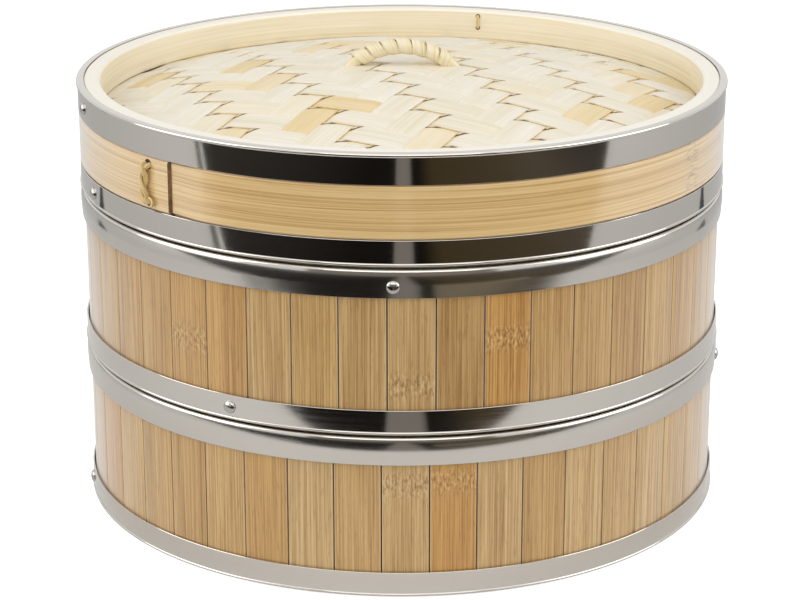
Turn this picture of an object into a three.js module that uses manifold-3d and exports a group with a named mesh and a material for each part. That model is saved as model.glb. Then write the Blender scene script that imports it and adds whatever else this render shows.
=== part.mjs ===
// A bamboo steamer: a lid with a woven dome over two tiers that nest on one another, bound in sheet steel.
// Millimetres, +Z up. The origin is the middle of the face that the lower tier stands on.
// Angles round the wall are in degrees from the front, which faces -Y, and grow towards +X.
import Module from "manifold-3d";
import * as THREE from "three";
import { mergeVertices } from "three/addons/utils/BufferGeometryUtils.js";

const wasm = await Module();
wasm.setup();

// The wall: an outer layer of staves or bent strip, with hoops inside it.
const wallRadius = 125.4; // outside of the staves, and of the lid's outer hoop under its bands
const outerLayer = 2.4; // thickness of the staves, and of the lid's outer hoop there
const innerLayer = 5; // thickness of the hoops inside them

// Clearances.
const fitGap = 0.3; // between pieces that are bent, pressed or laid together
const seatGap = 0.5; // between the steel rims of stacked pieces
const spigotHeadroom = 0.8; // above a spigot, under the hoop of the piece that sits over it

// A tier.
const tierHeight = 62.7; // between its steel rims
const spigotHeight = 5; // how far the inner hoop stands above the upper rim
const staveWidth = 17.5;
const staveJointWidth = 0.8;
const staveJointDepth = 1.2;
const ledgeHeight = 6.2; // of the hoop that carries the slats
const slatWidth = 16.5;
const slatSpace = 5.4;
const slatThickness = 3.5;
const slatEdgeMargin = 4.5; // least width left between the last slat and the staves
const battenWidth = 12;
const battenThickness = 3.5;
const battenOffset = 45; // of each batten from the middle

// The lid.
const lidHeight = 41.5; // between its steel rims
const rimHoopDepth = 12.4; // of the hoop above the woven panel
const rimHoopDrop = 0.3; // of that hoop's top below the steel lip
const panelThickness = 1.6;
const liningThickness = 1.2;
const domeRise = 15; // of the panel's crown above its edge
const stripProud = 1.1; // of the outer hoop between its bands, past its seats under them
const lapAngle = -41.6; // where the outer hoop's overlapping end stops
const lapStep = 1.2; // height of that end
const lapLength = 16; // over which the strip under it comes back to the full radius

// Steel bands, each with a flange over the edge of the wall and a roll at that edge.
// The rivet space is between the roll and the heads of the band's rivets.
const steelThickness = 0.6;
const flangeInset = 0.7; // of a flange's edge from the bore of the wall
const lidTopBand = { height: 11.4, rollHeight: 1.6, rollProud: 0.5, rivetSpace: 2.1 };
const lidBottomBand = { height: 10.1, rollHeight: 1.4, rollProud: 0.3, rivetSpace: 1.2 };
const tierTopBand = { height: 10.6, rollHeight: 3.7, rollProud: 0.6, rivetSpace: 0.1 };
const tierBottomBand = { height: 9.9, rollHeight: 1.4, rollProud: 0.3, rivetSpace: 1.3 };

// Rivets, two to a band on opposite sides.
const rivetHeadRadius = 2.5;
const rivetHeadHeight = 1.5;
const rivetShankRadius = 1.1;
const rivetAngles = {
  lid: { top: -72.5, bottom: -67.3 },
  upper: { top: -1.4, bottom: -29.6 },
  lower: { top: 81.4, bottom: -79.7 },
};

// Cane stitches, each a run on the face of a hoop with a leg in the wood at each end.
const caneRadius = 1.1;
const lashingAngle = -46.4;
const lashingMargin = 3; // between its legs and the bands above and below it
const rimStitchAngle = 163.6;
const rimStitchInset = 2.3; // of its upper leg from the top of the rim hoop
const rimStitchLength = 5;
const pinCover = 0.8; // wood left behind a rivet's shank or a stitch's leg

// The handle: an arched core that goes down through the panel, wound with a flat strip of cane.
const handleSpan = 39; // between its feet, on the axis at the height of the crown
const handleRise = 7.5; // of its axis above the crown
const coreRadius = 2.1;
const coreTail = 3; // of each foot below the lining, along the axis
const wrapWidth = 3.9;
const wrapThickness = 0.8;
const wrapSpace = 0.6; // between neighbouring turns on the inside of the arch

// Where the joints between the staves start.
const lowerFirstJoint = -3.4;
const upperFirstJoint = -2.4;

// Facets of the round forms.
const ringFacets = 48;
const domeRings = 4;
const rollSteps = 3;
const rivetFacets = 8;
const rivetRings = 3;
const coreFacets = 10;
const coreSteps = 16;
const caneFacets = 6;
const caneSteps = 12;
const wrapFacets = 8;
const stepsPerTurn = 24;

const colours = {
  stave: { color: 0xb8965f, roughness: 0.55, metalness: 0 },
  hoop: { color: 0xcfaa73, roughness: 0.5, metalness: 0 },
  innerHoop: { color: 0xe8dbb6, roughness: 0.55, metalness: 0 },
  slat: { color: 0xdcc596, roughness: 0.6, metalness: 0 },
  weave: { color: 0xece4d0, roughness: 0.6, metalness: 0 },
  cane: { color: 0xd9bf86, roughness: 0.6, metalness: 0 },
  steel: { color: 0xb4b2ae, roughness: 0.25, metalness: 1 },
};

// Sizes that follow from those above.
const facetCosine = Math.cos(Math.PI / ringFacets);
const wallBore = wallRadius - outerLayer;
const hoopRadius = wallBore - fitGap;
const chamberRadius = hoopRadius - innerLayer;
const bandBore = (wallRadius + fitGap) / facetCosine; // its flats clear the round of the wall
const bandRadius = bandBore + steelThickness;
const flangeRadius = wallBore + flangeInset;
const edgeInset = steelThickness + fitGap; // of the wall's edges inside the rims
const pinDepth = outerLayer - pinCover; // of a rivet's shank or a stitch's leg in the wood

const ledgeBottom = spigotHeight + spigotHeadroom;
const slatBottom = ledgeBottom + ledgeHeight + fitGap;
const slatTop = slatBottom + slatThickness;
const slatPitch = slatWidth + slatSpace;
const slatsEachSide = Math.floor((hoopRadius - slatEdgeMargin - slatWidth / 2) / slatPitch);
const staveCount = Math.round((2 * Math.PI * wallRadius) / staveWidth);

const rimHoopTop = lidHeight - rimHoopDrop;
const rimHoopBottom = rimHoopTop - rimHoopDepth;
const panelEdge = rimHoopBottom - fitGap;
const liningEdge = panelEdge - panelThickness - fitGap;
const skirtHoopTop = liningEdge - liningThickness - fitGap;
const crown = panelEdge + domeRise;

const upperTierBase = tierHeight + seatGap;
const lidBase = upperTierBase + tierHeight + seatGap;

const halfSpan = handleSpan / 2;
const archRadius = (halfSpan * halfSpan + handleRise * handleRise) / (2 * handleRise);
const wrapRadius = coreRadius + fitGap + wrapThickness; // outside of the winding
const wrapPitch = (wrapWidth + wrapSpace) / (1 - wrapRadius / archRadius);

// A direction of the wall, as a turn of +Y about Z.
function wallTurn(angle) {
  return Math.PI + THREE.MathUtils.degToRad(angle);
}

function polar(radius, angle) {
  return new THREE.Vector2(radius * Math.cos(angle), radius * Math.sin(angle));
}

// A geometry as a closed solid, its shared vertices merged and its empty faces left out.
function solidOf(geometry) {
  const bare = geometry.clone();
  bare.deleteAttribute("normal");
  bare.deleteAttribute("uv");
  const merged = mergeVertices(bare);
  const triVerts = [];
  for (let i = 0; i < merged.index.count; i += 3) {
    const [a, b, c] = merged.index.array.slice(i, i + 3);
    if (a !== b && b !== c && c !== a) triVerts.push(a, b, c);
  }
  const vertProperties = merged.attributes.position.array;
  return new wasm.Manifold(
    new wasm.Mesh({ numProp: 3, vertProperties, triVerts: new Uint32Array(triVerts) }),
  );
}

// A solid's faces as a geometry.
function geometryOf(solid) {
  const { vertProperties, triVerts } = solid.getMesh();
  const geometry = new THREE.BufferGeometry();
  geometry.setAttribute("position", new THREE.BufferAttribute(vertProperties, 3));
  geometry.setIndex(new THREE.BufferAttribute(triVerts, 1));
  geometry.computeVertexNormals();
  return geometry;
}

// A geometry with the given tools cut out of it.
function cut(geometry, tools) {
  return geometryOf(tools.reduce((left, tool) => left.subtract(solidOf(tool)), solidOf(geometry)));
}

function addMesh(group, name, geometry, look) {
  const mesh = new THREE.Mesh(geometry, new THREE.MeshStandardMaterial(look));
  mesh.name = name;
  group.add(mesh);
  return mesh;
}

// A section of [radius, height] points, going up on its outside, turned round the Z axis.
function turned(section) {
  const points = section.map(([radius, height]) => new THREE.Vector2(radius, height));
  return new THREE.LatheGeometry(points, ringFacets).rotateX(Math.PI / 2);
}

// A closed section turned into a ring.
function turnedRing(section) {
  return turned([...section, section[0]]);
}

function hoop(low, high) {
  return turnedRing([
    [chamberRadius, low],
    [hoopRadius, low],
    [hoopRadius, high],
    [chamberRadius, high],
  ]);
}

// A flat outline raised between two heights.
function raised(shape, low, high) {
  const options = { depth: high - low, bevelEnabled: false };
  return new THREE.ExtrudeGeometry(shape, options).translate(0, 0, low);
}

// A round outline, with its first corner at the front.
function roundOutline(radius, facets) {
  const corners = [];
  for (let i = 0; i < facets; i += 1) {
    corners.push(polar(radius, (i * 2 * Math.PI) / facets - Math.PI / 2));
  }
  return corners;
}

// A wall with the given outline and a bore whose facets line up with those of the hoops.
function wallOf(outline, low, high) {
  const shape = new THREE.Shape(outline);
  shape.holes.push(new THREE.Path(roundOutline(wallBore, ringFacets)));
  return raised(shape, low, high);
}

// Staves side by side, parted by narrow joints that do not go through to the bore.
function staveWall(firstJoint) {
  const pitch = (2 * Math.PI) / staveCount;
  const halfJoint = staveJointWidth / 2 / wallRadius;
  const outline = [];
  for (let i = 0; i < staveCount; i += 1) {
    const joint = wallTurn(firstJoint) + Math.PI / 2 + i * pitch;
    outline.push(polar(wallRadius - staveJointDepth, joint));
    outline.push(polar(wallRadius, joint + halfJoint));
    outline.push(polar(wallRadius, joint + pitch / 2));
    outline.push(polar(wallRadius, joint + pitch - halfJoint));
  }
  return wallOf(outline, edgeInset, tierHeight - edgeInset);
}

// The outline of a bent strip whose end lies over its beginning, which ramps out again from under that end.
function lapOutline(radius) {
  const lap = wallTurn(lapAngle) + Math.PI / 2;
  const ramp = lapLength / wallRadius;
  const step = (2 * Math.PI - ramp) / (ringFacets - 1);
  const outline = [polar(radius - lapStep, lap)];
  for (let i = 0; i < ringFacets; i += 1) {
    outline.push(polar(radius, lap + ramp + i * step));
  }
  return outline;
}

// The lid's outer hoop: a bent strip that fills the space between the bands and is thinner under them.
function lappedHoop() {
  const seats = wallOf(lapOutline(wallRadius), edgeInset, lidHeight - edgeInset);
  const low = lidBottomBand.height + fitGap;
  const high = lidHeight - lidTopBand.height - fitGap;
  const strip = wallOf(lapOutline(wallRadius + stripProud), low, high);
  return geometryOf(solidOf(seats).add(solidOf(strip)));
}

// A band's section for a rim at height 0 with the wall below it: the face, the roll and the flange.
function bandSection({ height, rollHeight, rollProud }) {
  const roll = [];
  for (let i = rollSteps; i >= 0; i -= 1) {
    const share = i / rollSteps;
    roll.push([bandRadius + rollProud * Math.sin(Math.PI * share), -rollHeight * share]);
  }
  return [
    [bandBore, -height],
    [bandRadius, -height],
    ...roll,
    [flangeRadius, 0],
    [flangeRadius, -steelThickness],
    [bandBore, -steelThickness],
  ];
}

function topBand(band, rim) {
  return turnedRing(bandSection(band)).translate(0, 0, rim);
}

// The same section upside down, taken in the other order so that it still goes up on its outside.
function bottomBand(band) {
  return turnedRing(bandSection(band).map(([radius, height]) => [radius, -height]).reverse());
}

// A round tool along a direction of the wall, between two radii at one height.
function drill(radius, from, to, angle, height) {
  return new THREE.CylinderGeometry(radius, radius, to - from, rivetFacets)
    .translate(0, (from + to) / 2, 0)
    .rotateZ(wallTurn(angle))
    .translate(0, 0, height);
}

// A rivet along +Y with its round head seated at the given radius and its shank ending at another.
function rivet(seat, shankEnd) {
  const section = [
    [0, shankEnd],
    [rivetShankRadius, shankEnd],
    [rivetShankRadius, seat],
  ];
  for (let i = 0; i <= rivetRings; i += 1) {
    const rise = (i / rivetRings) * (Math.PI / 2);
    section.push([rivetHeadRadius * Math.cos(rise), seat + rivetHeadHeight * Math.sin(rise)]);
  }
  const points = section.map(([radius, height]) => new THREE.Vector2(radius, height));
  return new THREE.LatheGeometry(points, rivetFacets);
}

// A band with its pair of rivets. It returns the wall under them, drilled for their shanks.
function rivetedBand(group, name, band, wall, angle, height) {
  const seat = bandRadius + fitGap;
  const shankEnd = wallRadius - pinDepth;
  const angles = [angle, angle + 180];
  const drills = angles.map((at) =>
    drill(rivetShankRadius + fitGap, shankEnd - fitGap, seat, at, height),
  );
  addMesh(group, name, cut(band, drills), colours.steel);
  angles.forEach((at, i) => {
    const mesh = addMesh(group, `${name}_rivet_${i + 1}`, rivet(seat, shankEnd), colours.steel);
    mesh.rotation.z = wallTurn(at);
    mesh.position.z = height;
  });
  return cut(wall, drills);
}

// The bands at both edges of a wall of the given height. It returns the wall, drilled for their rivets.
function bandedWall(group, name, wall, { top, bottom, height, rivets }) {
  const inset = (band) => band.rollHeight + band.rivetSpace + rivetHeadRadius;
  const upper = topBand(top, height);
  const lower = bottomBand(bottom);
  const drilled = rivetedBand(group, `${name}_top_band`, upper, wall, rivets.top, height - inset(top));
  return rivetedBand(group, `${name}_bottom_band`, lower, drilled, rivets.bottom, inset(bottom));
}

// A bar between two offsets across the tier, its ends following a round of the given radius.
function floorBar(near, far, round, low, high) {
  const endAt = (offset) => Math.sqrt(round * round - offset * offset);
  const corners = [
    new THREE.Vector2(near, -endAt(near)),
    new THREE.Vector2(far, -endAt(far)),
    new THREE.Vector2(far, endAt(far)),
    new THREE.Vector2(near, endAt(near)),
  ];
  return raised(new THREE.Shape(corners), low, high);
}

// A tier: staves between two bands, a tall inner hoop, and a slatted floor on a ledge with battens below it.
function tier(name, base, rivets, firstJoint) {
  const group = new THREE.Group();
  group.position.z = base;
  const wall = bandedWall(group, name, staveWall(firstJoint), {
    top: tierTopBand,
    bottom: tierBottomBand,
    height: tierHeight,
    rivets,
  });
  addMesh(group, `${name}_stave_wall`, wall, colours.stave);
  const innerHoop = hoop(slatTop + fitGap, tierHeight + spigotHeight);
  addMesh(group, `${name}_inner_hoop`, innerHoop, colours.innerHoop);
  const ledgeHoop = hoop(ledgeBottom, ledgeBottom + ledgeHeight);
  addMesh(group, `${name}_ledge_hoop`, ledgeHoop, colours.innerHoop);

  const slatRound = hoopRadius * facetCosine;
  for (let i = -slatsEachSide; i <= slatsEachSide; i += 1) {
    const near = i * slatPitch - slatWidth / 2;
    const slat = floorBar(near, near + slatWidth, slatRound, slatBottom, slatTop);
    addMesh(group, `${name}_slat_${i + slatsEachSide + 1}`, slat, colours.slat);
  }

  const battenRound = chamberRadius * facetCosine - fitGap;
  const battenTop = slatBottom - fitGap;
  [-1, 1].forEach((side, i) => {
    const near = side * battenOffset - battenWidth / 2;
    const batten = floorBar(near, near + battenWidth, battenRound, battenTop - battenThickness, battenTop);
    addMesh(group, `${name}_batten_${i + 1}`, batten, colours.slat).rotation.z = Math.PI / 2;
  });
  return group;
}

// The arc that the handle's axis follows in the XZ plane, to the same angle on both sides of its top.
class HandleArc extends THREE.Curve {
  constructor(halfAngle) {
    super();
    this.halfAngle = halfAngle;
  }

  getPoint(t, target = new THREE.Vector3()) {
    const angle = this.halfAngle * (2 * t - 1);
    const drop = archRadius * (1 - Math.cos(angle));
    return target.set(archRadius * Math.sin(angle), 0, crown + handleRise - drop);
  }
}

function handleCore(radius) {
  const atCrown = Math.asin(halfSpan / archRadius);
  const through = (panelThickness + fitGap + liningThickness) / Math.sin(atCrown);
  return new THREE.ExtrudeGeometry(new THREE.Shape(roundOutline(radius, coreFacets)), {
    steps: coreSteps,
    extrudePath: new HandleArc(atCrown + (through + coreTail) / archRadius),
  });
}

// The rings of points along the flat strip that winds round the handle, down to the panel on both sides.
function wrapRings() {
  const lowest = Math.acos((archRadius - handleRise + fitGap) / (archRadius - wrapRadius));
  const arc = new HandleArc(lowest - wrapWidth / 2 / archRadius);
  const steps = Math.floor((stepsPerTurn * 2 * arc.halfAngle * archRadius) / wrapPitch);
  const side = new THREE.Vector3(0, 1, 0);
  const rings = [];
  for (let i = 0; i <= steps; i += 1) {
    const axis = arc.getPoint(i / steps);
    const along = arc.getTangent(i / steps);
    const turn = (2 * Math.PI * i) / stepsPerTurn;
    const out = new THREE.Vector3()
      .crossVectors(along, side)
      .multiplyScalar(Math.sin(turn))
      .addScaledVector(side, Math.cos(turn));
    const ring = roundOutline(1, wrapFacets).map(({ x, y }) =>
      axis
        .clone()
        .addScaledVector(along, (x * wrapWidth) / 2)
        .addScaledVector(out, wrapRadius + ((y - 1) * wrapThickness) / 2),
    );
    rings.push(ring);
  }
  return rings;
}

// Rings of points joined into one tube with closed ends.
function tubeOf(rings) {
  const sides = rings[0].length;
  const faces = [];
  for (let i = 0; i + 1 < rings.length; i += 1) {
    for (let j = 0; j < sides; j += 1) {
      const a = i * sides + j;
      const b = i * sides + ((j + 1) % sides);
      faces.push(a, b, b + sides, a, b + sides, a + sides);
    }
  }
  const last = (rings.length - 1) * sides;
  for (let j = 1; j + 1 < sides; j += 1) {
    faces.push(0, j + 1, j, last, last + j, last + j + 1);
  }
  const geometry = new THREE.BufferGeometry().setFromPoints(rings.flat());
  geometry.setIndex(faces);
  geometry.computeVertexNormals();
  return geometry;
}

// The least distance between points of the strip that lie more than half a turn apart along it.
function leastSelfGap(rings) {
  let least = Infinity;
  for (let i = 0; i < rings.length; i += 1) {
    for (let j = i + stepsPerTurn / 2; j < rings.length; j += 1) {
      for (const p of rings[i]) {
        for (const q of rings[j]) least = Math.min(least, p.distanceTo(q));
      }
    }
  }
  return least;
}

// A cane staple: a run between two heights on a face of the wall, with a leg into the wood at each end.
function stitch(angle, low, high, face, outward) {
  const at = (proud, height) =>
    new THREE.Vector3(0, face + outward * proud, height).applyAxisAngle(
      new THREE.Vector3(0, 0, 1),
      wallTurn(angle),
    );
  const proud = caneRadius + fitGap;
  const bend = caneRadius + fitGap;
  const path = new THREE.CurvePath();
  path.add(new THREE.LineCurve3(at(-pinDepth, low), at(proud - bend, low)));
  path.add(new THREE.QuadraticBezierCurve3(at(proud - bend, low), at(proud, low), at(proud, low + bend)));
  path.add(new THREE.LineCurve3(at(proud, low + bend), at(proud, high - bend)));
  path.add(new THREE.QuadraticBezierCurve3(at(proud, high - bend), at(proud, high), at(proud - bend, high)));
  path.add(new THREE.LineCurve3(at(proud - bend, high), at(-pinDepth, high)));
  return new THREE.ExtrudeGeometry(new THREE.Shape(roundOutline(caneRadius, caneFacets)), {
    steps: caneSteps,
    extrudePath: path,
  });
}

// A hoop with its stitch. It returns the hoop, drilled for the stitch's legs.
function stitchedHoop(group, name, wood, angle, low, high, face, outward) {
  const radii = [face - outward * (pinDepth + fitGap), face + outward * caneRadius];
  const [from, to] = [Math.min(...radii), Math.max(...radii)];
  const drills = [low, high].map((height) => drill(caneRadius + 2 * fitGap, from, to, angle, height));
  addMesh(group, name, stitch(angle, low, high, face, outward), colours.cane);
  return cut(wood, drills);
}

// A domed disc with a flat edge, of even thickness.
function domedPanel(edge, thickness) {
  const upper = [];
  for (let i = 0; i <= domeRings; i += 1) {
    const share = i / domeRings;
    upper.push([chamberRadius * share, edge + domeRise * (1 - share * share)]);
  }
  upper.push([hoopRadius * facetCosine, edge]);
  const lower = upper.map(([radius, height]) => [radius, height - thickness]);
  return turned([...lower, ...upper.reverse()]);
}

// The lid: an outer hoop between two bands, two hoops inside it that hold the dome's edge, and the handle.
function lid(name, base, rivets) {
  const group = new THREE.Group();
  group.position.z = base;
  const lashingLow = lidBottomBand.height + lashingMargin;
  const lashingHigh = lidHeight - lidTopBand.height - lashingMargin;
  const lashed = stitchedHoop(
    group,
    `${name}_lashing`,
    lappedHoop(),
    lashingAngle,
    lashingLow,
    lashingHigh,
    wallRadius + stripProud,
    1,
  );
  const wall = bandedWall(group, name, lashed, {
    top: lidTopBand,
    bottom: lidBottomBand,
    height: lidHeight,
    rivets,
  });
  addMesh(group, `${name}_outer_hoop`, wall, colours.hoop);

  const stitchHigh = rimHoopTop - rimStitchInset;
  const rimHoop = stitchedHoop(
    group,
    `${name}_rim_stitch`,
    hoop(rimHoopBottom, rimHoopTop),
    rimStitchAngle,
    stitchHigh - rimStitchLength,
    stitchHigh,
    chamberRadius,
    -1,
  );
  addMesh(group, `${name}_rim_hoop`, rimHoop, colours.innerHoop);
  const skirtHoop = hoop(spigotHeight + spigotHeadroom, skirtHoopTop);
  addMesh(group, `${name}_skirt_hoop`, skirtHoop, colours.innerHoop);

  const footHoles = [handleCore(coreRadius + fitGap)];
  const panel = cut(domedPanel(panelEdge, panelThickness), footHoles);
  addMesh(group, `${name}_woven_panel`, panel, colours.weave);
  const lining = cut(domedPanel(liningEdge, liningThickness), footHoles);
  addMesh(group, `${name}_lining_panel`, lining, colours.weave);

  addMesh(group, `${name}_handle_core`, handleCore(coreRadius), colours.cane);
  const rings = wrapRings();
  console.log(`handle wrap: least gap between turns ${leastSelfGap(rings).toFixed(2)} mm`);
  addMesh(group, `${name}_handle_wrap`, tubeOf(rings), colours.cane);
  return group;
}

const steamer = new THREE.Group();
steamer.add(tier("lower_tier", 0, rivetAngles.lower, lowerFirstJoint));
steamer.add(tier("upper_tier", upperTierBase, rivetAngles.upper, upperFirstJoint));
steamer.add(lid("lid", lidBase, rivetAngles.lid));

export default steamer;
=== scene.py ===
"""The looks of a two-tier bamboo steamer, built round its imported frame.

Sizes are millimetres, as a maker notes them, and meshes are written in metres.
Angles round the wall are degrees from the front, which faces -Y, and grow towards +X.
"""

import logging
import math
from dataclasses import dataclass, field
from enum import Enum
from typing import Any, ClassVar

import bpy
import numpy as np
from bpy.types import Material, Mesh, Node, NodeSocket, NodeTree, Object
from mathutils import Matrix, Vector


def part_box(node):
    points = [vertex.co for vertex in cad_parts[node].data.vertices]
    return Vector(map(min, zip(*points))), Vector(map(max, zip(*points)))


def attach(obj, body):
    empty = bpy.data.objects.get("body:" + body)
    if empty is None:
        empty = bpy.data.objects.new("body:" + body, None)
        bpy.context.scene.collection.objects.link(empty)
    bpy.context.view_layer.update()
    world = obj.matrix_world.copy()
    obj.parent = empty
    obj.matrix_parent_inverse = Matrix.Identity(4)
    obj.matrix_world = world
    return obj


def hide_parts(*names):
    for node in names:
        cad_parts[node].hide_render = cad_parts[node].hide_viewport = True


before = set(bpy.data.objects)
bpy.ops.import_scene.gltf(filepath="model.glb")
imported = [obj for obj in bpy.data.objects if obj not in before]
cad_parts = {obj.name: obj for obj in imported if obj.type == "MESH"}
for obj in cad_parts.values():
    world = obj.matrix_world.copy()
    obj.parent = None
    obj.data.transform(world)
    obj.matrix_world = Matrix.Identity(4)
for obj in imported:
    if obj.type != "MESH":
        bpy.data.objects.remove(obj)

LOG = logging.getLogger("steamer")
MM = 0.001
SMOOTH_ANGLE = math.radians(35)
RING_STEPS = 480
CORNER_STEPS = 5
EASE_STEPS = 2
ROLL_STEPS = 16
SWELL_STEPS = 7
BAR_STEPS = 6
SPLINT_STEPS_ACROSS = 8
WINDING_STEPS = (7, 320)
RIVET_FACETS = (24, 14)
# Points of a splint that trimming has brought this close become one.
TRIM_MM = 0.01
# How far a rivet's round head goes on below its seat, as a share of its height.
RIVET_SINK = 0.15
# A direction that no tube starts in.
ASKEW = (0.31, 0.62, 0.72)
QUARTER = math.pi / 2
QUARTER_TURN = np.array(((0, -1, 0), (1, 0, 0), (0, 0, 1)), np.float32)
# A Mix node's sockets for colours.
MIX_A, MIX_B, MIX_OUT = 6, 7, 2

Pair = tuple[float, float]
Triple = tuple[float, float, float]
Outline = list[Pair]
Stops = tuple[tuple[float, str], ...]
Source = Node | NodeSocket


def linear(colour: str) -> tuple[float, float, float, float]:
    """Turns an sRGB hex colour into linear values.

    Args:
        colour: The colour as "#RRGGBB".

    Returns:
        Red, green, blue and a full alpha.
    """
    channels = [int(colour[i : i + 2], 16) / 255 for i in (1, 3, 5)]
    light = [c / 12.92 if c <= 0.04045 else ((c + 0.055) / 1.055) ** 2.4 for c in channels]
    return (light[0], light[1], light[2], 1.0)


def add_node(tree: NodeTree, kind: str, sockets: dict | None = None, **settings: Any) -> Node:
    """Adds a node to a tree, with its settings and what goes into it.

    Args:
        tree: The tree that gets the node.
        kind: The node's type.
        sockets: What goes into each input, by name or number: a node, a socket or a value.
        **settings: The node's own settings. "stops" gives a colour ramp's places and colours.

    Returns:
        The new node.
    """
    node = tree.nodes.new(kind)
    for number, (place, colour) in enumerate(settings.pop("stops", ())):
        ramp = node.color_ramp.elements
        if number == 0:
            ramp.remove(ramp[1])
        element = ramp.new(place) if number else ramp[0]
        element.position = place
        element.color = linear(colour)
    for name, value in settings.items():
        setattr(node, name, value)
    for key, value in (sockets or {}).items():
        source = value.outputs[0] if isinstance(value, Node) else value
        if isinstance(source, NodeSocket):
            tree.links.new(source, node.inputs[key])
        else:
            node.inputs[key].default_value = source
    return node


def new_material(name: str) -> Material:
    """Makes a material with an empty tree.

    Args:
        name: Its name.

    Returns:
        The material.
    """
    material = bpy.data.materials.new(name)
    material.use_nodes = True
    material.node_tree.nodes.clear()
    return material


def streaks(
    tree: NodeTree, place: Source, streak_mm: Pair, detail: float, roughness: float = 0.5
) -> NodeSocket:
    """Draws noise out into streaks along the fibres or the brush lines.

    Args:
        tree: The material's tree.
        place: The place on the piece, in millimetres along and across.
        streak_mm: Length and width of a streak.
        detail: Octaves of finer noise.
        roughness: Strength of the finer noise.

    Returns:
        The noise, around a half.
    """
    scale = (1 / streak_mm[0], 1 / streak_mm[1], 1.0)
    drawn_out = add_node(tree, "ShaderNodeMapping", {"Vector": place, "Scale": scale})
    noise = {"Vector": drawn_out, "Scale": 1.0, "Detail": detail, "Roughness": roughness}
    return add_node(tree, "ShaderNodeTexNoise", noise).outputs[0]


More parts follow.
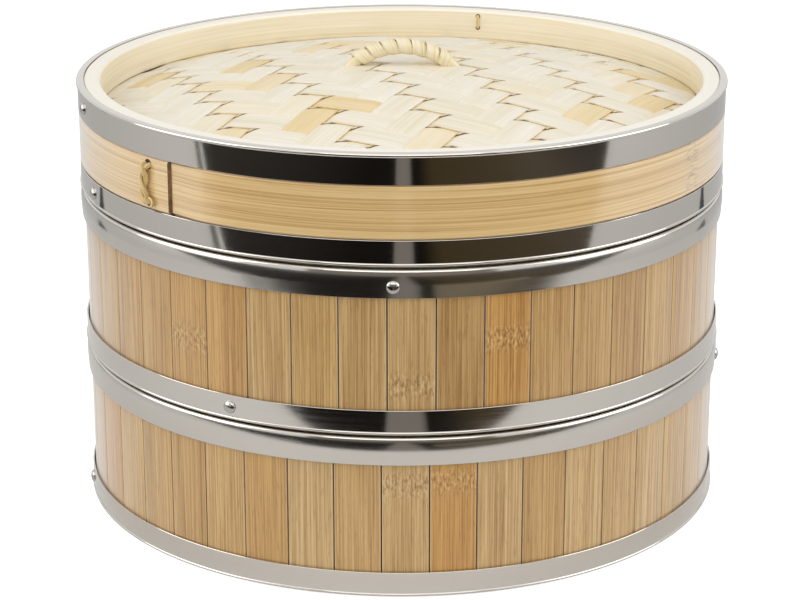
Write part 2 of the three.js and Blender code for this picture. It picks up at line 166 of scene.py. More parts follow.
@dataclass(frozen=True)
class BambooFinish:
    """Split bamboo, planed or left with its skin, whose fibres run as streaks along each piece.

    The grain attribute gives millimetres along and across the fibres, and tone a share that sets a piece
    apart. A size in two parts goes along and across too. Two values of noise say where a thing begins and
    where it is full. Flecks are cut vessels, stripes are fibre bundles, and marks are the speckles of a
    planed-off culm node. Tints go by the tone, and painted crevice shade by the level of a woven splint.
    """

    name: str
    deep: str
    mid: str
    pale: str
    tints: Stops = ((0.0, "#FFFFFF"), (1.0, "#FFFFFF"))
    fibre_mm: float = 0.9
    run_mm: float = 60.0
    broad: float = 0.45
    broad_mm: Pair = (120.0, 8.0)
    spread: float = 0.22
    roughness: Pair = (0.45, 0.6)
    specular: float = 0.5
    sheen: float = 0.0
    sheen_roughness: float = 0.4
    fleck: float = 0.35
    fleck_mm: Pair = (6.0, 0.6)
    fleck_noise: Pair = (0.58, 0.74)
    stripe: float = 0.0
    stripe_mm: float = 1.0
    stripe_run: float = 5.0
    stripe_noise: Pair = (0.54, 0.64)
    edge: float = 0.0
    edge_wear_and_light_tint: str = "#FFFFFF"
    mark: float = 0.0
    mark_mm: Pair = (1.8, 0.9)
    mark_reach_mm: Pair = (1.5, 7.5)
    mark_noise: Pair = (0.53, 0.62)
    glint_noise: Pair = (0.47, 0.36)
    mark_deep: str = "#5E4020"
    mark_pale: str = "#E0C795"
    painted_crevice_shade: Stops = ()
    bump_mm: float = 0.06
    coat: float = 0.0
    coat_roughness: float = 0.2
    coat_ior: float = 1.5

    # How far apart on the noise two pieces lie whose tones differ by 1, so that no two look alike.
    APART_MM: ClassVar[Triple] = (911.0, 377.0, 131.0)
    BUMP_STRENGTH: ClassVar[float] = 0.5
    GLINT_SHARE: ClassVar[float] = 0.7
    IOR: ClassVar[float] = 1.5

    def make(self) -> Material:
        """Builds the material.

        Returns:
            The material, with its colour, roughness and relief from the fibres.
        """
        material = new_material(self.name)
        tree = material.node_tree
        grain = add_node(tree, "ShaderNodeAttribute", attribute_name="grain")
        tone = add_node(tree, "ShaderNodeAttribute", attribute_name="tone").outputs["Fac"]
        place = add_node(
            tree,
            "ShaderNodeVectorMath",
            {0: tone, 1: self.APART_MM, 2: grain.outputs["Vector"]},
            operation="MULTIPLY_ADD",
        )
        fine = streaks(tree, place, (self.run_mm, self.fibre_mm), detail=4.0, roughness=0.65)
        broad = streaks(tree, place, self.broad_mm, detail=1.0)
        mixed = add_node(
            tree, "ShaderNodeMath", {0: broad, 1: self.broad, 2: fine}, operation="MULTIPLY_ADD"
        ).outputs[0]
        # Each noise lies around a half.
        middle = 0.5 + 0.5 * self.broad
        low, high = middle - self.spread, middle + self.spread
        colour = add_node(
            tree,
            "ShaderNodeValToRGB",
            {"Fac": mixed},
            stops=((low, self.deep), (middle, self.mid), (high, self.pale)),
        ).outputs[0]
        flecks = self.specks(tree, place, self.fleck_mm, 2.0, self.fleck_noise, self.fleck)
        tint = add_node(tree, "ShaderNodeValToRGB", {"Fac": tone}, stops=self.tints)
        # What lies over the plain fibres, from the lowest up: its share, its colour and how it mixes.
        layers = [(flecks, linear(self.deep), "MULTIPLY"), (1.0, tint, "MULTIPLY")]
        relief = mixed
        if self.stripe:
            layers.append((self.bundles(tree, place, tone), linear(self.deep), "MIX"))
        if self.mark:
            dark, glint = self.node_marks(tree, place)
            layers.append((dark, linear(self.mark_deep), "MIX"))
            layers.append((glint, linear(self.mark_pale), "MIX"))
            relief = add_node(tree, "ShaderNodeMath", {0: mixed, 1: dark}, operation="SUBTRACT")
        # Edges are painted paler: wear and a painted highlight on the staves' arrises, a painted highlight on
        # a rim's top.
        if self.edge:
            edge = add_node(tree, "ShaderNodeAttribute", attribute_name="edge").outputs["Fac"]
            worn_and_lit = add_node(tree, "ShaderNodeMath", {0: edge, 1: self.edge}, operation="MULTIPLY")
            layers.append((worn_and_lit, linear(self.edge_wear_and_light_tint), "MIX"))
        if self.painted_crevice_shade:
            # A woven splint stays clean on top and is darkened with painted shade where it dives under the
            # next one.
            level = add_node(tree, "ShaderNodeAttribute", attribute_name="level").outputs["Fac"]
            share = add_node(tree, "ShaderNodeMapRange", {"Value": level, "From Min": -1.0})
            shade = add_node(tree, "ShaderNodeValToRGB", {"Fac": share}, stops=self.painted_crevice_shade)
            layers.append((1.0, shade, "MULTIPLY"))
        for share, laid_over, blend in layers:
            colour = add_node(
                tree,
                "ShaderNodeMix",
                {0: share, MIX_A: colour, MIX_B: laid_over},
                data_type="RGBA",
                blend_type=blend,
            ).outputs[MIX_OUT]
        clear, dull = self.roughness
        gloss = {"Value": mixed, "From Min": low, "From Max": high, "To Min": dull, "To Max": clear}
        rough = add_node(tree, "ShaderNodeMapRange", gloss)
        depth = {"Strength": self.BUMP_STRENGTH, "Distance": self.bump_mm * MM, "Height": relief}
        bump = add_node(tree, "ShaderNodeBump", depth)
        shader = add_node(
            tree,
            "ShaderNodeBsdfPrincipled",
            {
                "Base Color": colour,
                "Roughness": rough,
                "IOR": self.IOR,
                "Specular IOR Level": self.specular,
                "Sheen Weight": self.sheen,
                "Sheen Roughness": self.sheen_roughness,
                "Coat Weight": self.coat,
                "Coat Roughness": self.coat_roughness,
                "Coat IOR": self.coat_ior,
                "Normal": bump,
            },
        )
        add_node(tree, "ShaderNodeOutputMaterial", {"Surface": shader})
        return material

    def specks(
        self, tree: NodeTree, place: Node, size_mm: Pair, detail: float, limits: Pair, strength: float
    ) -> Node:
        """Draws streaks that show only where their noise goes beyond a limit.

        Args:
            tree: The material's tree.
            place: The node with the place on the piece, in millimetres.
            size_mm: Length and width of a streak.
            detail: Octaves of finer noise.
            limits: Noise at which a streak begins to show and is full.
            strength: The share of a full streak.

        Returns:
            The share of the streaks.
        """
        begin, full = limits
        noise = streaks(tree, place, size_mm, detail)
        shown = {"Value": noise, "From Min": begin, "From Max": full, "To Max": strength}
        return add_node(tree, "ShaderNodeMapRange", shown)

    def bundles(self, tree: NodeTree, place: Node, tone: NodeSocket) -> Node:
        """Finds the dark lines of fibre bundles, which some pieces show more than others.

        Args:
            tree: The material's tree.
            place: The node with the place on the piece, in millimetres.
            tone: The share that sets the piece apart.

        Returns:
            The share of the lines.
        """
        line_mm = (self.stripe_run * self.run_mm, self.stripe_mm)
        dark = self.specks(tree, place, line_mm, 1.0, self.stripe_noise, self.stripe)
        chance = add_node(tree, "ShaderNodeTexWhiteNoise", {"W": tone}, noise_dimensions="1D")
        return add_node(tree, "ShaderNodeMath", {0: dark, 1: chance.outputs["Value"]}, operation="MULTIPLY")

    def node_marks(self, tree: NodeTree, place: Node) -> tuple[Node, Node]:
        """Finds the speckles that a planed-off culm node leaves in a band across a piece.

        Args:
            tree: The material's tree.
            place: The node with the place on the piece, in millimetres.

        Returns:
            The shares of the dark and of the pale speckles.
        """
        away = add_node(tree, "ShaderNodeAttribute", attribute_name="node_at").outputs["Fac"]
        far = add_node(tree, "ShaderNodeMath", {0: away}, operation="ABSOLUTE")
        full, end = self.mark_reach_mm
        near = add_node(
            tree,
            "ShaderNodeMapRange",
            {"Value": far, "From Min": full, "From Max": end, "To Min": 1.0, "To Max": 0.0},
            interpolation_type="SMOOTHSTEP",
        )
        shares = []
        for noise, strength in ((self.mark_noise, 1.0), (self.glint_noise, self.GLINT_SHARE)):
            spots = self.specks(tree, place, self.mark_mm, 2.0, noise, strength * self.mark)
            shares.append(add_node(tree, "ShaderNodeMath", {0: spots, 1: near}, operation="MULTIPLY"))
        return shares[0], shares[1]


@dataclass(frozen=True)
class SteelFinish:
    """Stainless sheet, brushed along its length: reflections stay sharp sideways and smear up and down.

    Roughness is for clear and for dull brush lines, and sizes are a line's length and width.
    """

    name: str
    colour: str
    roughness: Pair = (0.05, 0.1)
    brush_mm: Pair = (90.0, 0.35)
    bump_mm: float = 0.004
    anisotropy: float = 0.5

    BUMP_STRENGTH: ClassVar[float] = 0.3
    ACROSS_BRUSHING: ClassVar[float] = 0.25
    BRUSH_NOISE: ClassVar[Pair] = (0.3, 0.7)

    def make(self) -> Material:
        """Builds the material.

        Returns:
            The material, with its gloss and relief from the brushing.
        """
        material = new_material(self.name)
        tree = material.node_tree
        grain = add_node(tree, "ShaderNodeAttribute", attribute_name="grain").outputs["Vector"]
        # Real brush lines are near 0.05 mm, too fine to show, so they are drawn several times as coarse.
        brush = streaks(tree, grain, self.brush_mm, detail=3.0, roughness=0.7)
        fine, coarse = self.BRUSH_NOISE
        clear, dull = self.roughness
        gloss = {"Value": brush, "From Min": fine, "From Max": coarse, "To Min": clear, "To Max": dull}
        rough = add_node(tree, "ShaderNodeMapRange", gloss)
        depth = {"Strength": self.BUMP_STRENGTH, "Distance": self.bump_mm * MM, "Height": brush}
        bump = add_node(tree, "ShaderNodeBump", depth)
        along = add_node(tree, "ShaderNodeTangent", direction_type="RADIAL", axis="Z")
        shader = add_node(
            tree,
            "ShaderNodeBsdfPrincipled",
            {
                "Base Color": linear(self.colour),
                "Metallic": 1.0,
                "Roughness": rough,
                "Anisotropic": self.anisotropy,
                "Anisotropic Rotation": self.ACROSS_BRUSHING,
                "Normal": bump,
                "Tangent": along,
            },
        )
        add_node(tree, "ShaderNodeOutputMaterial", {"Surface": shader})
        return material


STAVE_SHADES = ("#E6D8BE", "#FFFAEA", "#EFE2C4", "#FFFFFF", "#F3E4C4", "#FBE2AE")
STAVE_TINTS = tuple((i / (len(STAVE_SHADES) - 1), shade) for i, shade in enumerate(STAVE_SHADES))
SPLINT_TINTS = ((0.0, "#FFFFFF"), (0.6, "#FFFEFA"), (0.78, "#FFFAEC"), (0.9, "#FDF2D8"), (1.0, "#F8E6BE"))
# Painted shade of the weave, by how deep a splint lies: golden, then dark brown where it dives under.
SPLINT_PAINTED_SHADE = (
    (0.0, "#38200A"),
    (0.13, "#5E3A14"),
    (0.22, "#A87838"),
    (0.3, "#DDB66C"),
    (0.36, "#F0DCA8"),
    (0.42, "#FFF8E6"),
    (0.5, "#FFFFFF"),
)

# Carbonised bamboo, planed and waxed: straight upright fibres, a satin face that turns milky towards the
# sides, and paler arrises, partly where the plane took the corner off and partly a painted highlight.
STAVE_BAMBOO = BambooFinish(
    "bamboo_staves_carbonised_planed",
    deep="#997340",
    mid="#BF9E68",
    pale="#D2B482",
    tints=STAVE_TINTS,
    fibre_mm=0.6,
    run_mm=60.0,
    broad=0.2,
    spread=0.17,
    specular=0.3,
    sheen=0.95,
    stripe=0.65,
    stripe_mm=0.5,
    edge=0.6,
    edge_wear_and_light_tint="#E2C896",
    mark=0.5,
    mark_mm=(2.0, 0.8),
    coat=1.0,
    coat_roughness=0.2,
    coat_ior=1.45,
)
# A long split strip, bent in steam and lacquered: unbroken fibre lines along it under a clear, sharp gloss.
HOOP_BAMBOO = BambooFinish(
    "bamboo_hoop_bent_lacquered",
    deep="#B88E4B",
    mid="#DBB778",
    pale="#E6C88E",
    fibre_mm=0.6,
    run_mm=150.0,
    broad=0.2,
    spread=0.17,
    roughness=(0.4, 0.5),
    fleck=0.12,
    sheen=1.0,
    stripe=0.6,
    stripe_mm=0.7,
    mark=0.6,
    mark_mm=(3.5, 0.5),
    coat=1.0,
    coat_roughness=0.13,
    coat_ior=2.15,
)
# A thick split strip, planed and left bare: cream with faint fibres on its face, and a painted highlight that
# makes its top edge almost white.
RIM_BAMBOO = BambooFinish(
    "bamboo_rim_bent_planed",
    deep="#DDD0B0",
    mid="#E8DCC0",
    pale="#EDE5CF",
    fibre_mm=0.8,
    run_mm=90.0,
    fleck=0.06,
    edge=0.8,
    edge_wear_and_light_tint="#F6F2E8",
)
# Split and roughly planed slats: plain straw, dull, with open grain.
SLAT_BAMBOO = BambooFinish(
    "bamboo_slats_split", deep="#BD9D66", mid="#DCC596", pale="#E9D8B0", tints=STAVE_TINTS
)
# Thin splints shaved from inside the culm: near white and matt, with painted shade, golden to dark, where one
# dives under the next.
SPLINT_BAMBOO = BambooFinish(
    "bamboo_splints_woven",
    deep="#E1D7BC",
    mid="#EBE3D2",
    pale="#F1ECE1",
    tints=SPLINT_TINTS,
    fibre_mm=0.6,
    run_mm=40.0,
    fleck=0.06,
    painted_crevice_shade=SPLINT_PAINTED_SHADE,
    bump_mm=0.05,
)
# The long edges of those splints, split and not planed: golden from the split, and darker with painted shade.
SPLINT_EDGE_SHADED = BambooFinish(
    "bamboo_splints_split_edge_shaded", deep="#B48B4C", mid="#D6B678", pale="#E6CFA0", run_mm=20.0
)
# The same splints, coloured darker and browner as painted shade for the gaps of the weave over them.
LINING_SHADED_BAMBOO = BambooFinish(
    "bamboo_splints_lining", deep="#8F6B3B", mid="#B08A54", pale="#C2A06B", tints=STAVE_TINTS
)
# Peeled cane, split flat: cream and faintly shiny, with fine lines along the strip.
CANE = BambooFinish(
    "cane_split_wound",
    deep="#CBAE74",
    mid="#E4D6B0",
    pale="#ECE4D0",
    fibre_mm=0.6,
    run_mm=20.0,
    roughness=(0.35, 0.5),
    fleck=0.1,
)
# Thin cane twisted while wet: straw with darker creases.
LASHING_CANE = BambooFinish(
    "cane_twisted_aged",
    deep="#94703C",
    mid="#D3B67C",
    pale="#EAD6A8",
    fibre_mm=0.5,
    run_mm=12.0,
    roughness=(0.4, 0.55),
)
# Sawn across the fibres, so the cut ends drink light and look dark and dotted.
END_GRAIN = BambooFinish(
    "bamboo_end_grain_sawn",
    deep="#4A2F18",
    mid="#755230",
    pale="#8F6B42",
    fibre_mm=0.8,
    run_mm=0.8,
    roughness=(0.6, 0.75),
)
# The wood at the bottom of the joints between staves: darker, with painted shade over it.
JOINT_SHADE_BAMBOO = BambooFinish(
    "bamboo_joint_shadow", deep="#2C1A08", mid="#4A2E12", pale="#66451E", fibre_mm=0.6, roughness=(0.7, 0.85)
)
# Dark plugs in the stitch holes, as painted shade of the holes: near black and dead matt.
HOLE_SHADOW_PLUG = BambooFinish(
    "bamboo_hole_painted_shadow", deep="#1E1208", mid="#3A2514", pale="#5A3C20", roughness=(0.8, 0.9)
)
# Stainless sheet from the roll: nearly a mirror, with fine brush lines along the band.
BRUSHED_STEEL = SteelFinish("stainless_steel_brushed", "#CAC5BD")
# The tiers' sheet is brushed a little duller, so that what it mirrors runs together.
SATIN_STEEL = SteelFinish("stainless_steel_satin", "#CAC5BD", roughness=(0.11, 0.17))
# Cold-headed rivets, tumbled bright: small clear highlights.
RIVET_STEEL = SteelFinish(
    "stainless_steel_headed", "#B2AFAA", roughness=(0.1, 0.18), brush_mm=(1.0, 1.0), anisotropy=0.0
)


@dataclass
class Shell:
    """A mesh in the making.

    Attributes:
        points: Points in millimetres.
        faces: Faces as rows of point numbers.
        grain: For each corner of each face, millimetres along and across the fibres.
        edge: For each point, how far it is on an edge painted paler, for wear and for light.
    """

    points: np.ndarray
    faces: list[tuple[int, ...]]
    grain: np.ndarray
    edge: np.ndarray | None = None


def store(mesh: Mesh, name: str, domain: str, values: np.ndarray) -> None:
    """Writes an attribute of single numbers or of vectors.

    Args:
        mesh: The mesh that gets it.
        name: The attribute's name.
        domain: "POINT" or "CORNER".
        values: One row for each point or corner.
    """
    flat = np.asarray(values, np.float32)
    kind, key = ("FLOAT_VECTOR", "vector") if flat.ndim == 2 else ("FLOAT", "value")
    mesh.attributes.new(name, kind, domain).data.foreach_set(key, flat.ravel())


def link_new(name: str, mesh: Mesh) -> Object:
    """Puts a mesh in the scene as an object.

    Args:
        name: The object's name.
        mesh: The mesh.

    Returns:
        The object.
    """
    piece = bpy.data.objects.new(name, mesh)
    bpy.context.scene.collection.objects.link(piece)
    return piece


def smooth(mesh: Mesh) -> None:
    """Shades a mesh smooth, apart from its sharp edges."""
    mesh.shade_smooth()
    mesh.set_sharp_from_angle(angle=SMOOTH_ANGLE)


def to_object(name: str, shell: Shell, material: Material, tone: float = 0.5) -> Object:
    """Makes an object of a shell.

    Args:
        name: The piece's name.
        shell: Its points, faces and grain.
        material: Its finish.
        tone: The share that sets its grain and tint apart.

    Returns:
        The object.
    """
    mesh = bpy.data.meshes.new(name)
    mesh.from_pydata((shell.points * MM).tolist(), [], shell.faces)
    store(mesh, "grain", "CORNER", shell.grain)
    store(mesh, "tone", "POINT", np.full(len(shell.points), tone))
    if shell.edge is not None:
        store(mesh, "edge", "POINT", shell.edge)
    mesh.materials.append(material)
    smooth(mesh)
    return link_new(name, mesh)


def around(radius: np.ndarray, degrees: np.ndarray, height: np.ndarray) -> np.ndarray:
    """Points at radii, angles round the wall and heights."""
    turn = np.radians(degrees)
    return np.stack([radius * np.sin(turn), -radius * np.cos(turn), height + 0 * turn], -1)


def turned(section: Outline, degrees: np.ndarray, sink: np.ndarray | None = None) -> Shell:
    """Turns a closed section round the Z axis.

    Args:
        section: Radii and heights, going up on the outside.
        degrees: The angles at which the section is set, over less than a full turn.
        sink: For each angle, how far the section's outer half is drawn in.

    Returns:
        The ring.
    """
    outline = np.array(section)
    count, steps = len(outline), len(degrees)
    middle = (outline[:, 0].min() + outline[:, 0].max()) / 2
    drawn = np.zeros(steps) if sink is None else sink
    radius = outline[None, :, 0] - drawn[:, None] * (outline[None, :, 0] > middle)
    points = around(radius, np.repeat(degrees[:, None], count, 1), np.repeat(outline[None, :, 1], steps, 0))
    step, corner = np.meshgrid(np.arange(steps), np.arange(count), indexing="ij")
    after, above = (step + 1) % steps, (corner + 1) % count
    faces = np.stack(
        [step * count + corner, after * count + corner, after * count + above, step * count + above], -1
    ).reshape(-1, 4)
    arc = np.radians(np.append(degrees, degrees[0] + 360)) * outline[:, 0].max()
    spans = np.linalg.norm(np.roll(outline, -1, 0) - outline, axis=1)
    across = np.concatenate([[0], np.cumsum(spans)])
    along = np.stack([arc[step], arc[step + 1], arc[step + 1], arc[step]], -1)
    over = np.stack([across[corner], across[corner], across[corner + 1], across[corner + 1]], -1)
    grain = np.stack([along, over, 0 * along], -1).reshape(-1, 3)
    return Shell(points.reshape(-1, 3), [tuple(face) for face in faces.tolist()], grain)


def full_turn(start: float) -> np.ndarray:
    """The angles of a smooth ring whose grain starts at the given angle."""
    return start + np.arange(RING_STEPS) * 360 / RING_STEPS


def eased_box(inner: float, outer: float, low: float, high: float, ease: float) -> Outline:
    """A ring's section with rounded corners.

    Args:
        inner: Inner radius.
        outer: Outer radius.
        low: Lower height.
        high: Upper height.
        ease: Radius of the corners.

    Returns:
        The section, going up on the outside.
    """
    corners = ((outer, low, -90), (outer, high, 0), (inner, high, 90), (inner, low, 180))
    section = []
    for radius, height, first in corners:
        middle = (
            radius - math.copysign(ease, radius - (inner + outer) / 2),
            height - math.copysign(ease, height - (low + high) / 2),
        )
        for degrees in np.linspace(first, first + 90, CORNER_STEPS):
            turn = math.radians(degrees)
            section.append((middle[0] + ease * math.cos(turn), middle[1] + ease * math.sin(turn)))
    return section


def tube(path: np.ndarray, radius: float, sides: int) -> Shell:
    """A round tube with closed ends along a path.

    Args:
        path: The points of its axis.
        radius: Its radius.
        sides: Its facets round the axis.

    Returns:
        The tube.
    """
    ahead = np.gradient(path, axis=0)
    ahead /= np.linalg.norm(ahead, axis=1)[:, None]
    side = np.cross(ahead[0], ASKEW)
    frames = []
    for direction in ahead:
        side = side - direction * (side @ direction)
        side = side / np.linalg.norm(side)
        frames.append((side, np.cross(direction, side)))
    turn = np.arange(sides) * 2 * math.pi / sides
    rings = [
        centre + radius * (np.cos(turn)[:, None] * first + np.sin(turn)[:, None] * second)
        for centre, (first, second) in zip(path, frames)
    ]
    length = np.concatenate([[0], np.cumsum(np.linalg.norm(np.diff(path, axis=0), axis=1))])
    faces, grain = [], []
    for i in range(len(path) - 1):
        for j in range(sides):
            near, far = i * sides + j, i * sides + (j + 1) % sides
            faces.append((near, far, far + sides, near + sides))
            for step, place in ((i, j), (i, j + 1), (i + 1, j + 1), (i + 1, j)):
                grain.append((length[step], place * 2 * math.pi * radius / sides, 0))
    last = (len(path) - 1) * sides
    faces.append(tuple(range(sides - 1, -1, -1)))
    faces.append(tuple(range(last, last + sides)))
    grain.extend([(0, 0, 0)] * (2 * sides))
    return Shell(np.concatenate(rings), faces, np.array(grain))


def joined(shells: list[Shell]) -> Shell:
    """Puts several shells into one.

    Args:
        shells: The shells.

    Returns:
        One shell with all their faces.
    """
    faces, count = [], 0
    for shell in shells:
        faces.extend(tuple(i + count for i in face) for face in shell.faces)
        count += len(shell.points)
    points = np.concatenate([shell.points for shell in shells])
    return Shell(points, faces, np.concatenate([shell.grain for shell in shells]))


def new_recipe(name: str, inputs: dict[str, str]) -> tuple[NodeTree, Node]:
    """Starts a geometry tree with named inputs.

    Args:
        name: The tree's name.
        inputs: Each input's name and socket type.

    Returns:
        The tree and its input node.
    """
    tree = bpy.data.node_groups.new(name, "GeometryNodeTree")
    tree.interface.new_socket("Geometry", in_out="INPUT", socket_type="NodeSocketGeometry")
    for label, kind in inputs.items():
        tree.interface.new_socket(label, in_out="INPUT", socket_type=f"NodeSocket{kind}")
    tree.interface.new_socket("Geometry", in_out="OUTPUT", socket_type="NodeSocketGeometry")
    return tree, add_node(tree, "NodeGroupInput")


def random_tone(tree: NodeTree, geometry: Node, seed: NodeSocket, domain: str) -> Node:
    """Draws a tone for each point or copy.

    Args:
        tree: The geometry tree.
        geometry: What gets the tones.
        seed: The seed of the draw.
        domain: "POINT" or "INSTANCE".

    Returns:
        The geometry with its tones.
    """
    chance = add_node(tree, "FunctionNodeRandomValue", {"Seed": seed}, data_type="FLOAT")
    return add_node(
        tree,
        "GeometryNodeStoreNamedAttribute",
        {"Geometry": geometry, "Name": "tone", "Value": chance.outputs[1]},
        data_type="FLOAT",
        domain=domain,
    )


def fibre_grain(tree: NodeTree, geometry: Node, along: Source, across: Source) -> Node:
    """Notes how each point lies on the fibres, in millimetres.

    Args:
        tree: The geometry tree.
        geometry: What gets the grain.
        along: Metres along the fibres.
        across: Metres across them.

    Returns:
        The geometry with its grain.
    """
    grain = add_node(tree, "ShaderNodeCombineXYZ", {"X": along, "Y": across})
    in_mm = add_node(tree, "ShaderNodeVectorMath", {0: grain, "Scale": 1 / MM}, operation="SCALE")
    return add_node(
        tree,
        "GeometryNodeStoreNamedAttribute",
        {"Geometry": geometry, "Name": "grain", "Value": in_mm},
        data_type="FLOAT_VECTOR",
        domain="POINT",
    )


def round_reach(tree: NodeTree, radius: NodeSocket, aside: Source) -> Node:
    """Finds how far a bar goes before it meets a round.

    Args:
        tree: The geometry tree.
        radius: The round's radius.
        aside: How far the bar lies off the round's middle.

    Returns:
        The bar's reach.
    """
    whole = add_node(tree, "ShaderNodeMath", {0: radius, 1: 2.0}, operation="POWER")
    off = add_node(tree, "ShaderNodeMath", {0: aside, 1: 2.0}, operation="POWER")
    left = add_node(tree, "ShaderNodeMath", {0: whole, 1: off}, operation="SUBTRACT")
    return add_node(tree, "ShaderNodeMath", {0: left}, operation="SQRT")


def end_recipe(tree: NodeTree, given: Node, instances: Source) -> None:
    """Ends a geometry tree by realizing its instances and setting the finish.

    Args:
        tree: The tree.
        given: Its input node, which has a Finish.
        instances: What the tree has made.
    """
    real = add_node(tree, "GeometryNodeRealizeInstances", {"Geometry": instances})
    finish = {"Geometry": real, "Material": given.outputs["Finish"]}
    dressed = add_node(tree, "GeometryNodeSetMaterial", finish)
    add_node(tree, "NodeGroupOutput", {"Geometry": dressed})


def bake(
    name: str,
    base: Mesh,
    tree: NodeTree,
    values: dict[str, Any],
    solid_mm: float = 0.0,
    ease_mm: float = 0.0,
    cut_edge: Material | None = None,
) -> Object:
    """Runs a geometry tree, and any thickness and eased edges, into a plain mesh.

    Args:
        name: The piece's name.
        base: The mesh that goes into the tree.
        tree: The geometry tree.
        values: The tree's inputs by name.
        solid_mm: Thickness that a sheet gets, half on each side.
        ease_mm: Width of eased edges.
        cut_edge: Finish of a sheet's edges, where they differ from its faces.

    Returns:
        The object with its finished mesh.
    """
    if cut_edge:
        for finish in (values["Finish"], cut_edge):
            base.materials.append(finish)
    piece = link_new(name, base)
    recipe = piece.modifiers.new("recipe", "NODES")
    recipe.node_group = tree
    for item in tree.interface.items_tree:
        if item.in_out == "INPUT" and item.name in values:
            recipe[item.identifier] = values[item.name]
    if solid_mm:
        solid = piece.modifiers.new("thickness", "SOLIDIFY")
        solid.thickness = solid_mm * MM
        solid.offset = 0.0
        solid.material_offset_rim = 1 if cut_edge else 0
    if ease_mm:
        ease = piece.modifiers.new("ease", "BEVEL")
        ease.width = ease_mm * MM
        ease.segments = EASE_STEPS
        ease.limit_method = "ANGLE"
    graph = bpy.context.evaluated_depsgraph_get()
    made = bpy.data.meshes.new_from_object(
        piece.evaluated_get(graph), preserve_all_data_layers=True, depsgraph=graph
    )
    piece.modifiers.clear()
    piece.data = made
    made.name = name
    if cut_edge:
        made.materials.append(cut_edge)
    smooth(made)
    bpy.data.meshes.remove(base)
    return piece


def stave_ring_recipe() -> NodeTree:
    """A ring of copies of one stave, each with a tone of its own.

    Returns:
        The geometry tree.
    """
    tree, given = new_recipe(
        "stave_ring",
        {"Staves": "Int", "First turn": "Float", "Piece": "Object", "Seed": "Int", "Finish": "Material"},
    )
    staves, first_turn, piece, seed = (given.outputs[k] for k in ("Staves", "First turn", "Piece", "Seed"))
    points = add_node(tree, "GeometryNodePoints", {"Count": staves})
    number = add_node(tree, "GeometryNodeInputIndex")
    pitch = add_node(tree, "ShaderNodeMath", {0: 2 * math.pi, 1: staves}, operation="DIVIDE")
    turn = add_node(tree, "ShaderNodeMath", {0: number, 1: pitch, 2: first_turn}, operation="MULTIPLY_ADD")
    facing = add_node(tree, "ShaderNodeCombineXYZ", {"Z": turn})
    stave = add_node(tree, "GeometryNodeObjectInfo", {"Object": piece}).outputs["Geometry"]
    copies = add_node(
        tree, "GeometryNodeInstanceOnPoints", {"Points": points, "Instance": stave, "Rotation": facing}
    )
    numbered = add_node(
        tree,
        "GeometryNodeStoreNamedAttribute",
        {"Geometry": random_tone(tree, copies, seed, "INSTANCE"), "Name": "number", "Value": number},
        data_type="FLOAT",
        domain="INSTANCE",
    )
    end_recipe(tree, given, numbered)
    return tree


def slat_floor_recipe() -> NodeTree:
    """Slats side by side, their ends following a round.

    Returns:
        The geometry tree.
    """
    inputs = {"Slats": "Int", "First": "Vector", "Step": "Vector", "Bar": "Vector", "Round": "Float"}
    tree, given = new_recipe("slat_floor", inputs | {"Seed": "Int", "Finish": "Material"})
    slats, first, step, size = (given.outputs[k] for k in ("Slats", "First", "Step", "Bar"))
    line = add_node(tree, "GeometryNodeMeshLine", {"Count": slats, "Start Location": first, "Offset": step})
    bar = add_node(tree, "GeometryNodeMeshCube", {"Size": size, "Vertices X": BAR_STEPS})
    copies = add_node(tree, "GeometryNodeInstanceOnPoints", {"Points": line, "Instance": bar})
    toned = random_tone(tree, copies, given.outputs["Seed"], "INSTANCE")
    real = add_node(tree, "GeometryNodeRealizeInstances", {"Geometry": toned})
    place = add_node(tree, "GeometryNodeInputPosition")
    across, along, height = add_node(tree, "ShaderNodeSeparateXYZ", {0: place}).outputs
    reach = round_reach(tree, given.outputs["Round"], across)
    ends = add_node(tree, "ShaderNodeMath", {0: along, 1: reach}, operation="MULTIPLY")
    trimmed = add_node(tree, "ShaderNodeCombineXYZ", {"X": across, "Y": ends, "Z": height})
    shaped = add_node(tree, "GeometryNodeSetPosition", {"Geometry": real, "Position": trimmed})
    end_recipe(tree, given, fibre_grain(tree, shaped, along, across))
    return tree


def rivet_recipe() -> NodeTree:
    """Round rivet heads on given points, each turned as the point's turn attribute says.

    Returns:
        The geometry tree.
    """
    tree, given = new_recipe("rivet_heads", {"Head": "Vector", "Finish": "Material"})
    segments, rings = RIVET_FACETS
    ball = add_node(tree, "GeometryNodeMeshUVSphere", {"Segments": segments, "Rings": rings, "Radius": 1.0})
    place = add_node(tree, "GeometryNodeInputPosition")
    lowest = (-1.0, -1.0, -RIVET_SINK)
    seat = add_node(tree, "ShaderNodeVectorMath", {0: place, 1: lowest}, operation="MAXIMUM")
    head = add_node(tree, "GeometryNodeSetPosition", {"Geometry": ball, "Position": seat})
    turn = add_node(tree, "GeometryNodeInputNamedAttribute", {"Name": "turn"}, data_type="FLOAT_VECTOR")
    seats, size = given.outputs["Geometry"], given.outputs["Head"]
    copies = add_node(
        tree,
        "GeometryNodeInstanceOnPoints",
        {"Points": seats, "Instance": head, "Rotation": turn, "Scale": size},
    )
    end_recipe(tree, given, copies)
    return tree


@dataclass(frozen=True)
class Slack:
    """How a splint of a twill lies slack at one end of each stretch that shows.

    One corner there goes down sooner, arches up less again under the next splint, and holds a painted shade
    that tapers away along the splint's edge. Trim is the share of the panel's round that the splints keep to.
    """

    trim: float = 0.995
    corner_power: float = 2.6
    sooner: float = 0.12
    corner_drop: float = 0.25
    end_drop: float = 0.22
    hole_power: float = 6.0
    hole_shade: float = 3.3


